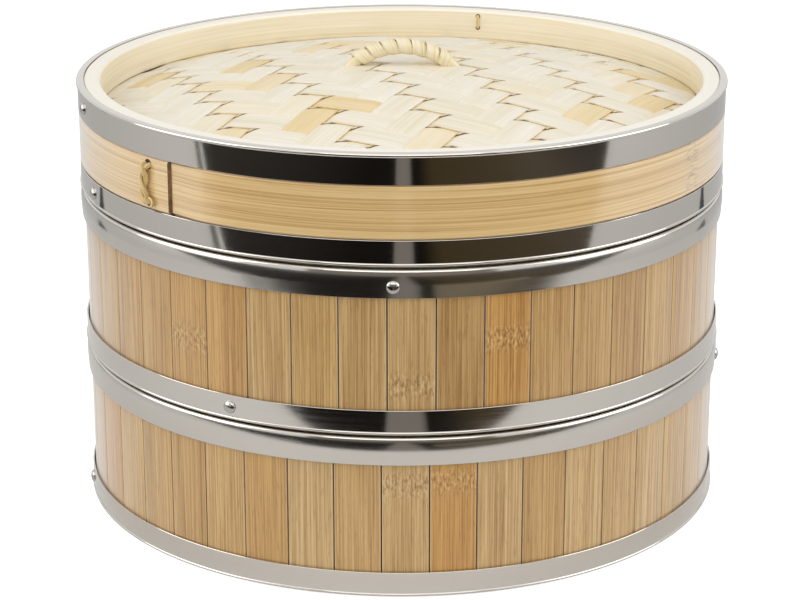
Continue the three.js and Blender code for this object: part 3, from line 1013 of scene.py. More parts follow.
def twill_recipe(slack: Slack = Slack()) -> NodeTree:
    """Parallel splints over a dome, each passing over two crossing splints and under two.

    Args:
        slack: How a splint lies slack at one end of each stretch that shows.

    Returns:
        The geometry tree.
    """
    lengths = ("Width", "Round", "Crown", "Fall", "Lift", "Arch", "Bow")
    waves = ("Wave", "Wave start", "Wave step", "Dive", "Turn")
    inputs = {"Splints": "Int", "First": "Vector", "Step": "Vector", "Steps": "Int", "Seed": "Int"}
    inputs |= {name: "Float" for name in lengths + waves}
    tree, given = new_recipe("twill_splints", inputs | {"Finish": "Material"})
    splints, first, step, steps = (given.outputs[k] for k in ("Splints", "First", "Step", "Steps"))
    width, panel_round, crown, fall, signed_lift, arch, bow = (given.outputs[k] for k in lengths)
    wave, wave_start, wave_step, least_dive, panel_turn = (given.outputs[k] for k in waves)
    row = {"Count": splints, "Start Location": first, "Offset": step}
    line = add_node(tree, "GeometryNodeMeshLine", row)
    number = add_node(tree, "GeometryNodeInputIndex")
    shift = add_node(
        tree, "ShaderNodeMath", {0: number, 1: wave_step, 2: wave_start}, operation="MULTIPLY_ADD"
    )
    shifted = add_node(
        tree,
        "GeometryNodeStoreNamedAttribute",
        {"Geometry": line, "Name": "shift", "Value": shift},
        data_type="FLOAT",
        domain="POINT",
    )
    toned = random_tone(tree, shifted, given.outputs["Seed"], "POINT")
    strip = add_node(
        tree,
        "GeometryNodeMeshGrid",
        {"Size X": 2.0, "Size Y": width, "Vertices X": steps, "Vertices Y": SPLINT_STEPS_ACROSS},
    )
    place = add_node(tree, "GeometryNodeInputPosition")
    parts = add_node(tree, "ShaderNodeSeparateXYZ", {0: place})
    sided = add_node(
        tree,
        "GeometryNodeStoreNamedAttribute",
        {"Geometry": strip, "Name": "across", "Value": parts.outputs["Y"]},
        data_type="FLOAT",
        domain="POINT",
    )
    copies = add_node(tree, "GeometryNodeInstanceOnPoints", {"Points": toned, "Instance": sided})
    real = add_node(tree, "GeometryNodeRealizeInstances", {"Geometry": copies})
    # Each splint reaches the round that holds the panel's edge, and the outermost ones are trimmed by it.
    limit = add_node(tree, "ShaderNodeMath", {0: panel_round, 1: slack.trim}, operation="MULTIPLY")
    far_limit = add_node(tree, "ShaderNodeMath", {0: limit, 1: -1.0}, operation="MULTIPLY")
    inside = add_node(tree, "ShaderNodeClamp", {"Value": parts.outputs["Y"], "Min": far_limit, "Max": limit})
    reach = round_reach(tree, panel_round, inside)
    along = add_node(tree, "ShaderNodeMath", {0: parts.outputs["X"], 1: reach}, operation="MULTIPLY")
    # It follows the dome, and waves over and under the splints that cross it.
    aside = add_node(tree, "ShaderNodeMath", {0: inside, 1: 2.0}, operation="POWER")
    from_axis = add_node(tree, "ShaderNodeMath", {0: along, 1: along, 2: aside}, operation="MULTIPLY_ADD")
    down = add_node(tree, "ShaderNodeMath", {0: from_axis, 1: fall, 2: crown}, operation="MULTIPLY_ADD")
    shift_here = add_node(tree, "GeometryNodeInputNamedAttribute", {"Name": "shift"}, data_type="FLOAT")
    phase = add_node(tree, "ShaderNodeMath", {0: along, 1: wave, 2: shift_here}, operation="MULTIPLY_ADD")
    swing = add_node(tree, "ShaderNodeMath", {0: phase}, operation="COSINE")
    side = add_node(tree, "ShaderNodeMath", {0: signed_lift}, operation="SIGN")
    # Each stretch that shows has a tone of its own, which changes where the splint is hidden.
    begin = add_node(tree, "ShaderNodeMath", {0: side, 1: 0.25, 2: 0.25}, operation="MULTIPLY_ADD")
    turns = add_node(
        tree, "ShaderNodeMath", {0: phase, 1: 0.25 / QUARTER, 2: begin}, operation="MULTIPLY_ADD"
    )
    stretch = add_node(tree, "ShaderNodeMath", {0: turns}, operation="FLOOR")
    splint_tone = add_node(tree, "GeometryNodeInputNamedAttribute", {"Name": "tone"}, data_type="FLOAT")
    pick = add_node(tree, "ShaderNodeCombineXYZ", {"X": stretch, "Y": splint_tone})
    stretch_tone = add_node(tree, "ShaderNodeTexWhiteNoise", {"Vector": pick}, noise_dimensions="2D")
    upward = add_node(tree, "ShaderNodeMath", {0: swing, 1: side}, operation="MULTIPLY")
    # It has dived below its neighbours where the next crossing splint begins. At the slack end of each
    # stretch one corner goes down sooner, where the twill leaves a hole.
    across = add_node(tree, "GeometryNodeInputNamedAttribute", {"Name": "across"}, data_type="FLOAT")
    half = add_node(tree, "ShaderNodeMath", {0: width, 1: 0.5}, operation="MULTIPLY")
    sideways = add_node(tree, "ShaderNodeMath", {0: across, 1: half}, operation="DIVIDE")
    slope = add_node(tree, "ShaderNodeMath", {0: phase}, operation="SINE")
    slack_end = add_node(tree, "ShaderNodeMapRange", {"Value": slope, "From Min": 0.0, "From Max": -1.0})
    one_side = add_node(tree, "ShaderNodeMath", {0: sideways, 1: 0.0}, operation="MAXIMUM")
    hollow = add_node(tree, "ShaderNodeMath", {0: one_side, 1: slack.corner_power}, operation="POWER")
    corner = add_node(tree, "ShaderNodeMath", {0: hollow, 1: slack_end}, operation="MULTIPLY")
    sooner = add_node(tree, "ShaderNodeMath", {0: corner, 1: slack.sooner, 2: 1.0}, operation="MULTIPLY_ADD")
    dive = add_node(tree, "ShaderNodeMath", {0: sooner, 1: least_dive}, operation="MULTIPLY")
    over = add_node(
        tree,
        "ShaderNodeMapRange",
        {"Value": upward, "From Max": dive, "To Min": -1.0, "To Max": 1.0},
        interpolation_type="SMOOTHSTEP",
    )
    # Under another splint it arches up to that one, and less so at the slack end and its corner.
    middle = add_node(
        tree, "ShaderNodeMath", {0: corner, 1: -slack.corner_drop, 2: 1.0}, operation="MULTIPLY_ADD"
    )
    taut = add_node(
        tree, "ShaderNodeMath", {0: slack_end, 1: -slack.end_drop, 2: 1.0}, operation="MULTIPLY_ADD"
    )
    held = add_node(tree, "ShaderNodeMath", {0: middle, 1: taut}, operation="MULTIPLY")
    under = add_node(tree, "ShaderNodeMath", {0: over, 1: -0.5, 2: 0.5}, operation="MULTIPLY_ADD")
    arched = add_node(tree, "ShaderNodeMath", {0: held, 1: under}, operation="MULTIPLY")
    level = add_node(tree, "ShaderNodeMath", {0: arched, 1: arch, 2: over}, operation="MULTIPLY_ADD")
    # The painted shade of a hole tapers away along the splint's edge.
    taper = add_node(tree, "ShaderNodeMath", {0: slack_end, 1: slack.hole_power}, operation="POWER")
    hole = add_node(tree, "ShaderNodeMath", {0: hollow, 1: taper}, operation="MULTIPLY")
    shaded = add_node(
        tree, "ShaderNodeMath", {0: hole, 1: -slack.hole_shade, 2: level}, operation="MULTIPLY_ADD"
    )
    lift = add_node(tree, "ShaderNodeMath", {0: signed_lift}, operation="ABSOLUTE")
    waved = add_node(tree, "ShaderNodeMath", {0: level, 1: lift, 2: down}, operation="MULTIPLY_ADD")
    # A splint is split from a round culm, so its edges lie a little lower than its middle.
    edge = add_node(tree, "ShaderNodeMath", {0: sideways, 1: sideways}, operation="MULTIPLY")
    bend = add_node(tree, "ShaderNodeMath", {0: edge, 1: bow}, operation="MULTIPLY")
    height = add_node(tree, "ShaderNodeMath", {0: waved, 1: bend}, operation="SUBTRACT")
    laid = add_node(tree, "ShaderNodeCombineXYZ", {"X": along, "Y": inside, "Z": height})
    spun = add_node(
        tree, "ShaderNodeVectorRotate", {"Vector": laid, "Angle": panel_turn}, rotation_type="Z_AXIS"
    )
    noted = fibre_grain(tree, real, along, across)
    # The stored level holds the painted shade of the holes as well as the height.
    for name, value in {"level": shaded, "tone": stretch_tone.outputs["Value"]}.items():
        noted = add_node(
            tree,
            "GeometryNodeStoreNamedAttribute",
            {"Geometry": noted, "Name": name, "Value": value},
            data_type="FLOAT",
            domain="POINT",
        )
    shaped = add_node(tree, "GeometryNodeSetPosition", {"Geometry": noted, "Position": spun})
    trimmed = add_node(tree, "GeometryNodeMergeByDistance", {"Geometry": shaped, "Distance": TRIM_MM * MM})
    end_recipe(tree, given, trimmed)
    return tree


def winding_recipe() -> NodeTree:
    """One flat strip wound round an arched rod.

    Returns:
        The geometry tree.
    """
    sizes = ("Width", "Length", "Bow", "Radius", "Turns angle", "Arch angle", "Top")
    inputs = {name: "Float" for name in sizes} | {"Arch middle": "Vector", "Finish": "Material"}
    tree, given = new_recipe("winding", inputs)
    width, length, bow, radius, turns_angle, arch_angle, top = (given.outputs[k] for k in sizes)
    steps_across, steps_along = WINDING_STEPS
    strip = add_node(
        tree,
        "GeometryNodeMeshGrid",
        {"Size X": width, "Size Y": 1.0, "Vertices X": steps_across, "Vertices Y": steps_along},
    )
    place = add_node(tree, "GeometryNodeInputPosition")
    across, share, _ = add_node(tree, "ShaderNodeSeparateXYZ", {0: place}).outputs
    spin = add_node(tree, "ShaderNodeMath", {0: share, 1: turns_angle}, operation="MULTIPLY")
    swing = add_node(tree, "ShaderNodeMath", {0: share, 1: arch_angle}, operation="MULTIPLY")
    # The strip is thickest along its middle.
    aside = add_node(tree, "ShaderNodeMath", {0: across, 1: 2.0}, operation="POWER")
    bend = add_node(tree, "ShaderNodeMath", {0: aside, 1: bow}, operation="MULTIPLY")
    out = add_node(tree, "ShaderNodeMath", {0: radius, 1: bend}, operation="SUBTRACT")
    flat = add_node(tree, "ShaderNodeCombineXYZ", {"X": across, "Z": out})
    wound = add_node(tree, "ShaderNodeVectorRotate", {"Vector": flat, "Angle": spin}, rotation_type="X_AXIS")
    arched = add_node(
        tree,
        "ShaderNodeVectorRotate",
        {"Vector": wound, "Center": given.outputs["Arch middle"], "Angle": swing},
        rotation_type="Y_AXIS",
    )
    lifted = add_node(tree, "ShaderNodeCombineXYZ", {"Z": top})
    set_there = add_node(tree, "ShaderNodeVectorMath", {0: arched, 1: lifted}, operation="ADD")
    along = add_node(tree, "ShaderNodeMath", {0: share, 1: length}, operation="MULTIPLY")
    grained = fibre_grain(tree, strip, along, across)
    shaped = add_node(tree, "GeometryNodeSetPosition", {"Geometry": grained, "Position": set_there})
    end_recipe(tree, given, shaped)
    return tree


@dataclass
class Workshop:
    """The finishes and the geometry trees that the sub-assemblies share."""

    stave: Material = field(default_factory=STAVE_BAMBOO.make)
    hoop: Material = field(default_factory=HOOP_BAMBOO.make)
    rim: Material = field(default_factory=RIM_BAMBOO.make)
    slat: Material = field(default_factory=SLAT_BAMBOO.make)
    splint: Material = field(default_factory=SPLINT_BAMBOO.make)
    splint_edge_shaded: Material = field(default_factory=SPLINT_EDGE_SHADED.make)
    lining: Material = field(default_factory=LINING_SHADED_BAMBOO.make)
    cane: Material = field(default_factory=CANE.make)
    lashing: Material = field(default_factory=LASHING_CANE.make)
    hole_shadow: Material = field(default_factory=HOLE_SHADOW_PLUG.make)
    joint: Material = field(default_factory=JOINT_SHADE_BAMBOO.make)
    end_grain: Material = field(default_factory=END_GRAIN.make)
    steel: Material = field(default_factory=BRUSHED_STEEL.make)
    satin: Material = field(default_factory=SATIN_STEEL.make)
    rivet: Material = field(default_factory=RIVET_STEEL.make)
    stave_ring: NodeTree = field(default_factory=stave_ring_recipe)
    slat_floor: NodeTree = field(default_factory=slat_floor_recipe)
    rivet_heads: NodeTree = field(default_factory=rivet_recipe)
    twill: NodeTree = field(default_factory=twill_recipe)
    winding: NodeTree = field(default_factory=winding_recipe)


class Slot(Enum):
    """The record's material slots."""

    STAVE = "bamboo_stave"
    HOOP = "bamboo_hoop"
    INNER_HOOP = "bamboo_inner_hoop"
    SLAT = "bamboo_slat"
    WEAVE = "woven_bamboo"
    CANE = "cane"
    STEEL = "stainless_steel"


def fit(piece: Object, body: str, slot: Slot, *nodes: str) -> None:
    """Sets a finished piece on its body in place of CAD nodes.

    Args:
        piece: The piece.
        body: The body that it moves with.
        slot: The record's slot for its finish. Not used.
        *nodes: The nodes that it stands for.
    """
    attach(piece, body)
    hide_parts(*nodes)
    LOG.info("%s: %d faces, on %s", piece.name, len(piece.data.polygons), body)


class Rim(Enum):
    """The edge of a wall that a steel band goes over."""

    TOP = "top"
    BOTTOM = "bottom"


@dataclass(frozen=True)
class Wall:
    """Sizes that the lid and the tiers share."""

    radius: float = 125.4
    bore: float = 123.0
    hoop_radius: float = 122.7
    chamber_radius: float = 117.7
    edge_inset: float = 0.9
    band_bore: float = 125.97
    band_radius: float = 126.57
    flange_radius: float = 124.15
    steel: float = 0.6
    sheet_ease: float = 0.12
    fold: float = 0.35
    fold_depth: float = 1.5
    hoop_ease: float = 1.1

    def hoop_section(self, base: float, levels: Pair) -> Outline:
        """The section of a hoop inside the wall, between two levels over the base."""
        low, high = levels
        return eased_box(self.chamber_radius, self.hoop_radius, base + low, base + high, self.hoop_ease)


@dataclass(frozen=True)
class SteelBand:
    """A band over one edge of a wall: a face, a round roll at the edge and a flange over it.

    A swell, in place of a roll, gives depths under the rim and how steeply the face looks up there, in
    degrees, from the free edge up. A lift keeps the roll off the rim, so that only the flange's inner edge
    reaches it. The second rivet is opposite the first.
    """

    rim: Rim
    height: float
    roll_height: float
    roll_proud: float
    rivet_space: float
    rivet_angle: float
    swell: tuple[Pair, ...] = ()
    lift: float = 0.0
    rivet_radius: float = 2.5
    rivet_height: float = 1.3

    def rolled(self, wall: Wall) -> Outline:
        """The roll along the rim.

        Args:
            wall: The wall's sizes.

        Returns:
            Radii, and heights from the rim, going up.
        """
        roll = self.roll_height / 2
        inset = roll - self.roll_proud
        crease = -math.acos(inset / roll)
        points = [
            (wall.band_radius - inset + roll * math.cos(turn), -self.lift - roll + roll * math.sin(turn))
            for turn in np.linspace(crease, QUARTER, ROLL_STEPS)
        ]
        # The face stays flat up to the roll.
        return [(wall.band_radius, points[0][1] - wall.sheet_ease), *points]

    def swollen(self, wall: Wall) -> Outline:
        """A face that leans out and rounds over into the rim, in arcs that run into one another.

        Args:
            wall: The wall's sizes.

        Returns:
            Radii, and heights from the rim, going up.
        """
        slopes = [(depth, math.radians(slope)) for depth, slope in self.swell]
        lean = slopes[0][1]
        points = [(wall.band_radius - (self.height - slopes[0][0]) * math.tan(lean), -slopes[0][0])]
        for (low, below), (high, above) in zip(slopes, slopes[1:]):
            bend = (low - high) / (math.sin(above) - math.sin(below))
            radius = points[-1][0]
            for turn in np.linspace(below, above, SWELL_STEPS)[1:]:
                out = bend * (math.cos(turn) - math.cos(below))
                points.append((radius + out, bend * (math.sin(turn) - math.sin(below)) - low))
        return points

    def section(self, wall: Wall) -> Outline:
        """The band's section.

        Args:
            wall: The wall's sizes.

        Returns:
            Radii, and heights from the rim, going up on the outside.
        """
        section = [
            (wall.band_bore, -self.height),
            (wall.band_radius - wall.sheet_ease, -self.height),
            (wall.band_radius, -self.height + wall.sheet_ease),
            *(self.swollen(wall) if self.swell else self.rolled(wall)),
            (wall.flange_radius, 0.0),
            (wall.flange_radius, -wall.steel),
            (wall.band_bore - wall.fold, -wall.steel),
            (wall.band_bore, -wall.fold_depth),
        ]
        if self.rim is Rim.BOTTOM:
            section = [(radius, -height) for radius, height in reversed(section)]
        return section

    def build(self, name: str, wall: Wall, rim_height: float, sheet: Material) -> Object:
        """Builds the band.

        Args:
            name: The sub-assembly's name.
            wall: The wall's sizes.
            rim_height: Height of the rim.
            sheet: The steel's finish.

        Returns:
            The band.
        """
        section = [(radius, rim_height + height) for radius, height in self.section(wall)]
        shell = turned(section, full_turn(self.rivet_angle + 180))
        return to_object(f"{name}_{self.rim.value}_steel", shell, sheet)

    def rivet_seats(self, wall: Wall, rim_height: float) -> tuple[np.ndarray, np.ndarray]:
        """Where the band's two rivets sit.

        Args:
            wall: The wall's sizes.
            rim_height: Height of the rim.

        Returns:
            The seats, and the turns that point a head outwards there.
        """
        inset = self.roll_height + self.rivet_space + self.rivet_radius
        height = rim_height + (inset if self.rim is Rim.BOTTOM else -inset)
        angles = np.array([self.rivet_angle, self.rivet_angle + 180])
        seats = around(np.full(2, wall.band_radius), angles, np.full(2, height))
        turns = np.stack([np.full(2, QUARTER), np.zeros(2), np.radians(angles)], -1)
        return seats, turns


def build_bands(
    name: str,
    wall: Wall,
    bands: tuple[SteelBand, SteelBand],
    rims: dict[Rim, float],
    sheets: tuple[Material, Material],
    shop: Workshop,
) -> None:
    """Builds both bands of a wall and their rivets.

    Args:
        name: The sub-assembly's name, which is also its body's.
        wall: The wall's sizes.
        bands: The upper and the lower band.
        rims: Heights of the two rims.
        sheets: The two bands' finishes.
        shop: The finishes and trees.
    """
    seats, turns, nodes = [], [], []
    for band, sheet in zip(bands, sheets):
        rim_height = rims[band.rim]
        piece = band.build(name, wall, rim_height, sheet)
        fit(piece, name, Slot.STEEL, f"{name}_{band.rim.value}_band")
        places, facing = band.rivet_seats(wall, rim_height)
        seats.append(places)
        turns.append(facing)
        nodes.extend(f"{name}_{band.rim.value}_band_rivet_{i}" for i in (1, 2))
    points = bpy.data.meshes.new(f"{name}_rivet_seats")
    points.from_pydata((np.concatenate(seats) * MM).tolist(), [], [])
    store(points, "turn", "POINT", np.concatenate(turns))
    head = (bands[0].rivet_radius * MM, bands[0].rivet_radius * MM, bands[0].rivet_height * MM)
    rivets = bake(f"{name}_rivets", points, shop.rivet_heads, {"Head": head, "Finish": shop.rivet})
    fit(rivets, name, Slot.STEEL, *nodes)


@dataclass(frozen=True)
class Bars:
    """A row of flat bars whose ends reach a round. Levels are their undersides and tops over the base."""

    count: int
    pitch: float
    width: float
    levels: Pair
    reach: float


@dataclass
class Tier:
    """A tier: staves between two bands, an inner hoop, and a slatted floor on a ledge.

    Node marks give the heights at which staves were cut across a culm node, by the stave's number.
    """

    name: str
    base: float
    first_joint: float
    top_rivet: float
    bottom_rivet: float
    seed: int
    node_marks: dict[int, float]
    wall: Wall = Wall()
    height: float = 62.7
    spigot: float = 5.0
    staves: int = 45
    joint: float = 0.52
    joint_depth: float = 1.2
    joint_ease: float = 0.1
    stave_ease: float = 0.35
    stave_steps: tuple[int, int] = (9, 5)
    ledge: Pair = (5.8, 12.0)
    hoop_start: float = 150.0
    hoop_tone: float = 0.3
    slats: Bars = Bars(11, 21.9, 16.5, (12.3, 15.8), 122.4)
    battens: Bars = Bars(2, 90.0, 12.0, (8.5, 12.0), 117.1)
    bar_ease: float = 0.6
    fit_gap: float = 0.3
    bead: tuple[Pair, ...] = ((6.0, -3.5), (4.5, 0.5), (3.0, 4.0), (1.8, 8.0), (0.9, 14.0), (0.0, 90.0))

    # The distance from a culm node on a stave that has none.
    NO_NODE: ClassVar[float] = 1000.0

    def stave(self) -> Shell:
        """One stave at the front: a bent bar with eased long edges.

        Returns:
            The stave, with its fibres upright.
        """
        half = math.pi * self.wall.radius / self.staves - self.joint / 2
        ease = self.stave_ease
        face_steps, inner_steps = self.stave_steps
        # A rounded corner, from the side of the stave to its face.
        turns = np.linspace(QUARTER, 0, CORNER_STEPS)
        corner = -half + ease * (1 - np.sin(turns))
        dip = ease * (1 - np.cos(turns))
        # The eased corners are painted paler, partly for wear and partly as a painted highlight.
        wear_and_highlight = np.sin(2 * turns)
        face = np.linspace(-half + ease, half - ease, face_steps)[1:-1]
        inside = np.linspace(half, -half, inner_steps)
        flat, unlit_inside = np.zeros(len(face)), np.zeros(inner_steps)
        sideways = np.concatenate([corner, face, -corner[::-1], inside])
        worn_and_lit = np.concatenate([wear_and_highlight, flat, wear_and_highlight[::-1], unlit_inside])
        outer = self.wall.radius - np.concatenate([dip, flat, dip[::-1]])
        radius = np.concatenate([outer, np.full(inner_steps, self.wall.bore)])
        count = len(sideways)
        outline = around(radius, np.degrees(sideways / self.wall.radius), np.zeros(count))
        low, high = self.wall.edge_inset, self.height - self.wall.edge_inset
        points = np.concatenate([outline + (0, 0, low), outline + (0, 0, high)])
        faces, grain = [], []
        for i in range(count):
            j = (i + 1) % count
            faces.append((i, j, j + count, i + count))
            corners = ((low, i), (low, j), (high, j), (high, i))
            grain.extend((level, sideways[k], 0) for level, k in corners)
        faces.append(tuple(range(count - 1, -1, -1)))
        faces.append(tuple(range(count, 2 * count)))
        grain.extend([(low, x, 0) for x in sideways[::-1]] + [(high, x, 0) for x in sideways])
        return Shell(points + (0, 0, self.base), faces, np.array(grain), np.tile(worn_and_lit, 2))

    def build_staves(self, shop: Workshop) -> None:
        """Builds the ring of staves and marks those that were cut across a culm node.

        Args:
            shop: The finishes and trees.
        """
        one = to_object(f"{self.name}_one_stave", self.stave(), shop.stave)
        one.data.attributes.remove(one.data.attributes["tone"])
        pitch = 360 / self.staves
        values = {
            "Staves": self.staves,
            "First turn": math.radians(self.first_joint + pitch / 2),
            "Piece": one,
            "Seed": self.seed,
            "Finish": shop.stave,
        }
        ring = bake(f"{self.name}_staves", bpy.data.meshes.new("ring"), shop.stave_ring, values)
        bpy.data.meshes.remove(one.data)
        mesh = ring.data
        number = np.zeros(len(mesh.vertices), np.float32)
        mesh.attributes["number"].data.foreach_get("value", number)
        places = np.zeros(len(mesh.vertices) * 3, np.float32)
        mesh.vertices.foreach_get("co", places)
        height = places[2::3] / MM - self.base
        away = np.full(len(number), self.NO_NODE)
        for stave, mark in self.node_marks.items():
            here = np.round(number) == stave % self.staves
            away[here] = height[here] - mark
        store(mesh, "node_at", "POINT", away)
        fit(ring, self.name, Slot.STAVE, f"{self.name}_stave_wall")

    def build_joints(self, shop: Workshop) -> None:
        """Builds the ring of dark wood, coloured with painted shade, that closes the joints between the
        staves.

        Args:
            shop: The finishes.
        """
        inset = self.wall.edge_inset
        section = eased_box(
            self.wall.bore + self.fit_gap,
            self.wall.radius - self.joint_depth,
            self.base + inset + self.fit_gap,
            self.base + self.height - inset - self.fit_gap,
            self.joint_ease,
        )
        ring = turned(section, full_turn(self.first_joint))
        backing = to_object(f"{self.name}_joint_backing", ring, shop.joint)
        fit(backing, self.name, Slot.STAVE, f"{self.name}_stave_wall")

    def build_floor(self, shop: Workshop) -> None:
        """Builds the slats and the battens under them.

        Args:
            shop: The finishes and trees.
        """
        for number, (kind, bars) in enumerate({"slat": self.slats, "batten": self.battens}.items()):
            low, high = bars.levels
            first = -(bars.count - 1) / 2 * bars.pitch
            values = {
                "Slats": bars.count,
                "First": (first * MM, 0.0, (self.base + (low + high) / 2) * MM),
                "Step": (bars.pitch * MM, 0.0, 0.0),
                "Bar": (bars.width * MM, 2.0, (high - low) * MM),
                "Round": bars.reach * MM,
                "Seed": self.seed + number,
                "Finish": shop.slat,
            }
            base = bpy.data.meshes.new("floor")
            row = bake(f"{self.name}_floor_{kind}s", base, shop.slat_floor, values, ease_mm=self.bar_ease)
            if bars is self.battens:
                # The battens lie across the slats.
                places = np.zeros(len(row.data.vertices) * 3, np.float32)
                row.data.vertices.foreach_get("co", places)
                row.data.vertices.foreach_set("co", (places.reshape(-1, 3) @ QUARTER_TURN.T).ravel())
                row.data.update()
            fit(row, self.name, Slot.SLAT, *(f"{self.name}_{kind}_{i + 1}" for i in range(bars.count)))

    def build(self, shop: Workshop) -> None:
        """Builds the tier.

        Args:
            shop: The finishes and trees.
        """
        bands = (
            SteelBand(
                Rim.TOP,
                height=10.6,
                roll_height=3.7,
                roll_proud=0.6,
                rivet_space=0.1,
                rivet_angle=self.top_rivet,
                swell=self.bead,
            ),
            SteelBand(
                Rim.BOTTOM,
                height=9.9,
                roll_height=1.2,
                roll_proud=0.4,
                rivet_space=1.5,
                rivet_angle=self.bottom_rivet,
                lift=0.6,
            ),
        )
        self.build_staves(shop)
        self.build_joints(shop)
        rims = {Rim.TOP: self.base + self.height, Rim.BOTTOM: self.base}
        build_bands(self.name, self.wall, bands, rims, (shop.satin, shop.steel), shop)
        floor_top = self.slats.levels[1]
        levels = {"inner": (floor_top + self.fit_gap, self.height + self.spigot), "ledge": self.ledge}
        for kind, span in levels.items():
            shell = turned(self.wall.hoop_section(self.base, span), full_turn(self.hoop_start))
            ring = to_object(f"{self.name}_{kind}_ring", shell, shop.rim, self.hoop_tone)
            fit(ring, self.name, Slot.INNER_HOOP, f"{self.name}_{kind}_hoop")
        self.build_floor(shop)


@dataclass
class Weave:
    """A domed twill of flat splints, in two families that cross at right angles.

    A splint waves up and down by its lift. It has gone under at its dive before a crossing splint, and comes
    up again under that one by its arch. A corner of the pattern lies at the given corner.
    """

    name: str
    edge: float
    rise: float
    thickness: float
    lift: float
    seed: int
    pitch: float = 12.2
    width: float = 12.1
    dive: float = 3.6
    arch: float = 0.9
    bow: float = 0.1
    steps: int = 240
    turn: float = -25.8
    corner: Pair = (-83.5, -12.8)
    dome_radius: float = 117.7
    reach: float = 119.5
    least_share: float = 0.2

    def family(self, shop: Workshop, finish: Material, over: bool) -> Object:
        """Builds the splints of one direction.

        Args:
            shop: The geometry trees.
            finish: The splints' finish.
            over: Whether this is the family that lies over the first crossing.

        Returns:
            The splints as one piece.
        """
        turn = math.radians(self.turn)
        main = np.array((math.cos(turn), math.sin(turn)))
        cross = np.array((-main[1], main[0]))
        zero = np.array(self.corner)
        along_zero, line_zero = (zero @ main, zero @ cross) if over else (zero @ cross, zero @ main)
        first = math.ceil((-self.reach - line_zero) / self.pitch - 1 + self.least_share)
        last = math.floor((self.reach - line_zero) / self.pitch - self.least_share)
        # Seen along its splints, the second family counts the other way across.
        start, side = (first, 1) if over else (last, -1)
        line = side * (line_zero + (start + 0.5) * self.pitch)
        wave = QUARTER / self.pitch
        values = {
            "Splints": last - first + 1,
            "First": (0.0, line * MM, 0.0),
            "Step": (0.0, self.pitch * MM, 0.0),
            "Width": self.width * MM,
            "Round": self.reach * MM,
            "Crown": (self.edge + self.rise) * MM,
            "Fall": -self.rise / self.dome_radius**2 / MM,
            "Wave": wave / MM,
            "Wave start": QUARTER * (start - 1) - wave * along_zero,
            "Wave step": QUARTER * side,
            "Lift": (self.lift if over else -self.lift) * MM,
            "Dive": math.sin(wave * self.dive),
            "Arch": self.arch,
            "Bow": self.bow * MM,
            "Steps": self.steps,
            "Turn": turn if over else turn + QUARTER,
            "Seed": self.seed + over,
            "Finish": finish,
        }
        label = f"{self.name}_{'warp' if over else 'weft'}"
        base = bpy.data.meshes.new(label)
        return bake(label, base, shop.twill, values, self.thickness, cut_edge=shop.splint_edge_shaded)


@dataclass
class Handle:
    """An arched rod through the panel, wound with one flat strip of cane.

    The strip's bow says how strongly its edges bend in, per metre, and the wound angle how far it goes
    along the arch to either side.
    """

    crown: float
    span: float = 39.0
    rise: float = 7.5
    rod_radius: float = 2.1
    rod_steps: tuple[int, int] = (60, 20)
    rod_tone: float = 0.2
    tail: float = 8.0
    strip_width: float = 5.2
    strip_radius: float = 2.88
    strip_thickness: float = 0.7
    strip_bow: float = 40.0
    strip_tone: float = 0.8
    turns: float = 6.8
    wound_angle: float = 37.0

    def build(self, body: str, shop: Workshop) -> None:
        """Builds the rod and its winding.

        Args:
            body: The body that the handle moves with.
            shop: The finishes and trees.
        """
        half = self.span / 2
        arch = (half**2 + self.rise**2) / (2 * self.rise)
        foot = math.asin(half / arch) + self.tail / arch
        steps, sides = self.rod_steps
        swing = np.linspace(-foot, foot, steps)
        top = self.crown + self.rise
        path = np.stack([arch * np.sin(swing), 0 * swing, top - arch * (1 - np.cos(swing))], -1)
        shell = tube(path, self.rod_radius, sides)
        rod = to_object(f"{body}_handle_rod", shell, shop.cane, self.rod_tone)
        fit(rod, body, Slot.CANE, f"{body}_handle_core")
        values = {
            "Width": self.strip_width * MM,
            "Length": self.turns * 2 * math.pi * self.strip_radius * MM,
            "Bow": self.strip_bow,
            "Radius": self.strip_radius * MM,
            "Turns angle": self.turns * 2 * math.pi,
            "Arch angle": 2 * math.radians(self.wound_angle),
            "Arch middle": (0.0, 0.0, -arch * MM),
            "Top": top * MM,
            "Finish": shop.cane,
        }
        name = f"{body}_handle_winding"
        strip = bake(name, bpy.data.meshes.new(name), shop.winding, values, self.strip_thickness)
        store(strip.data, "tone", "POINT", np.full(len(strip.data.vertices), self.strip_tone))
        fit(strip, body, Slot.CANE, f"{body}_handle_wrap")


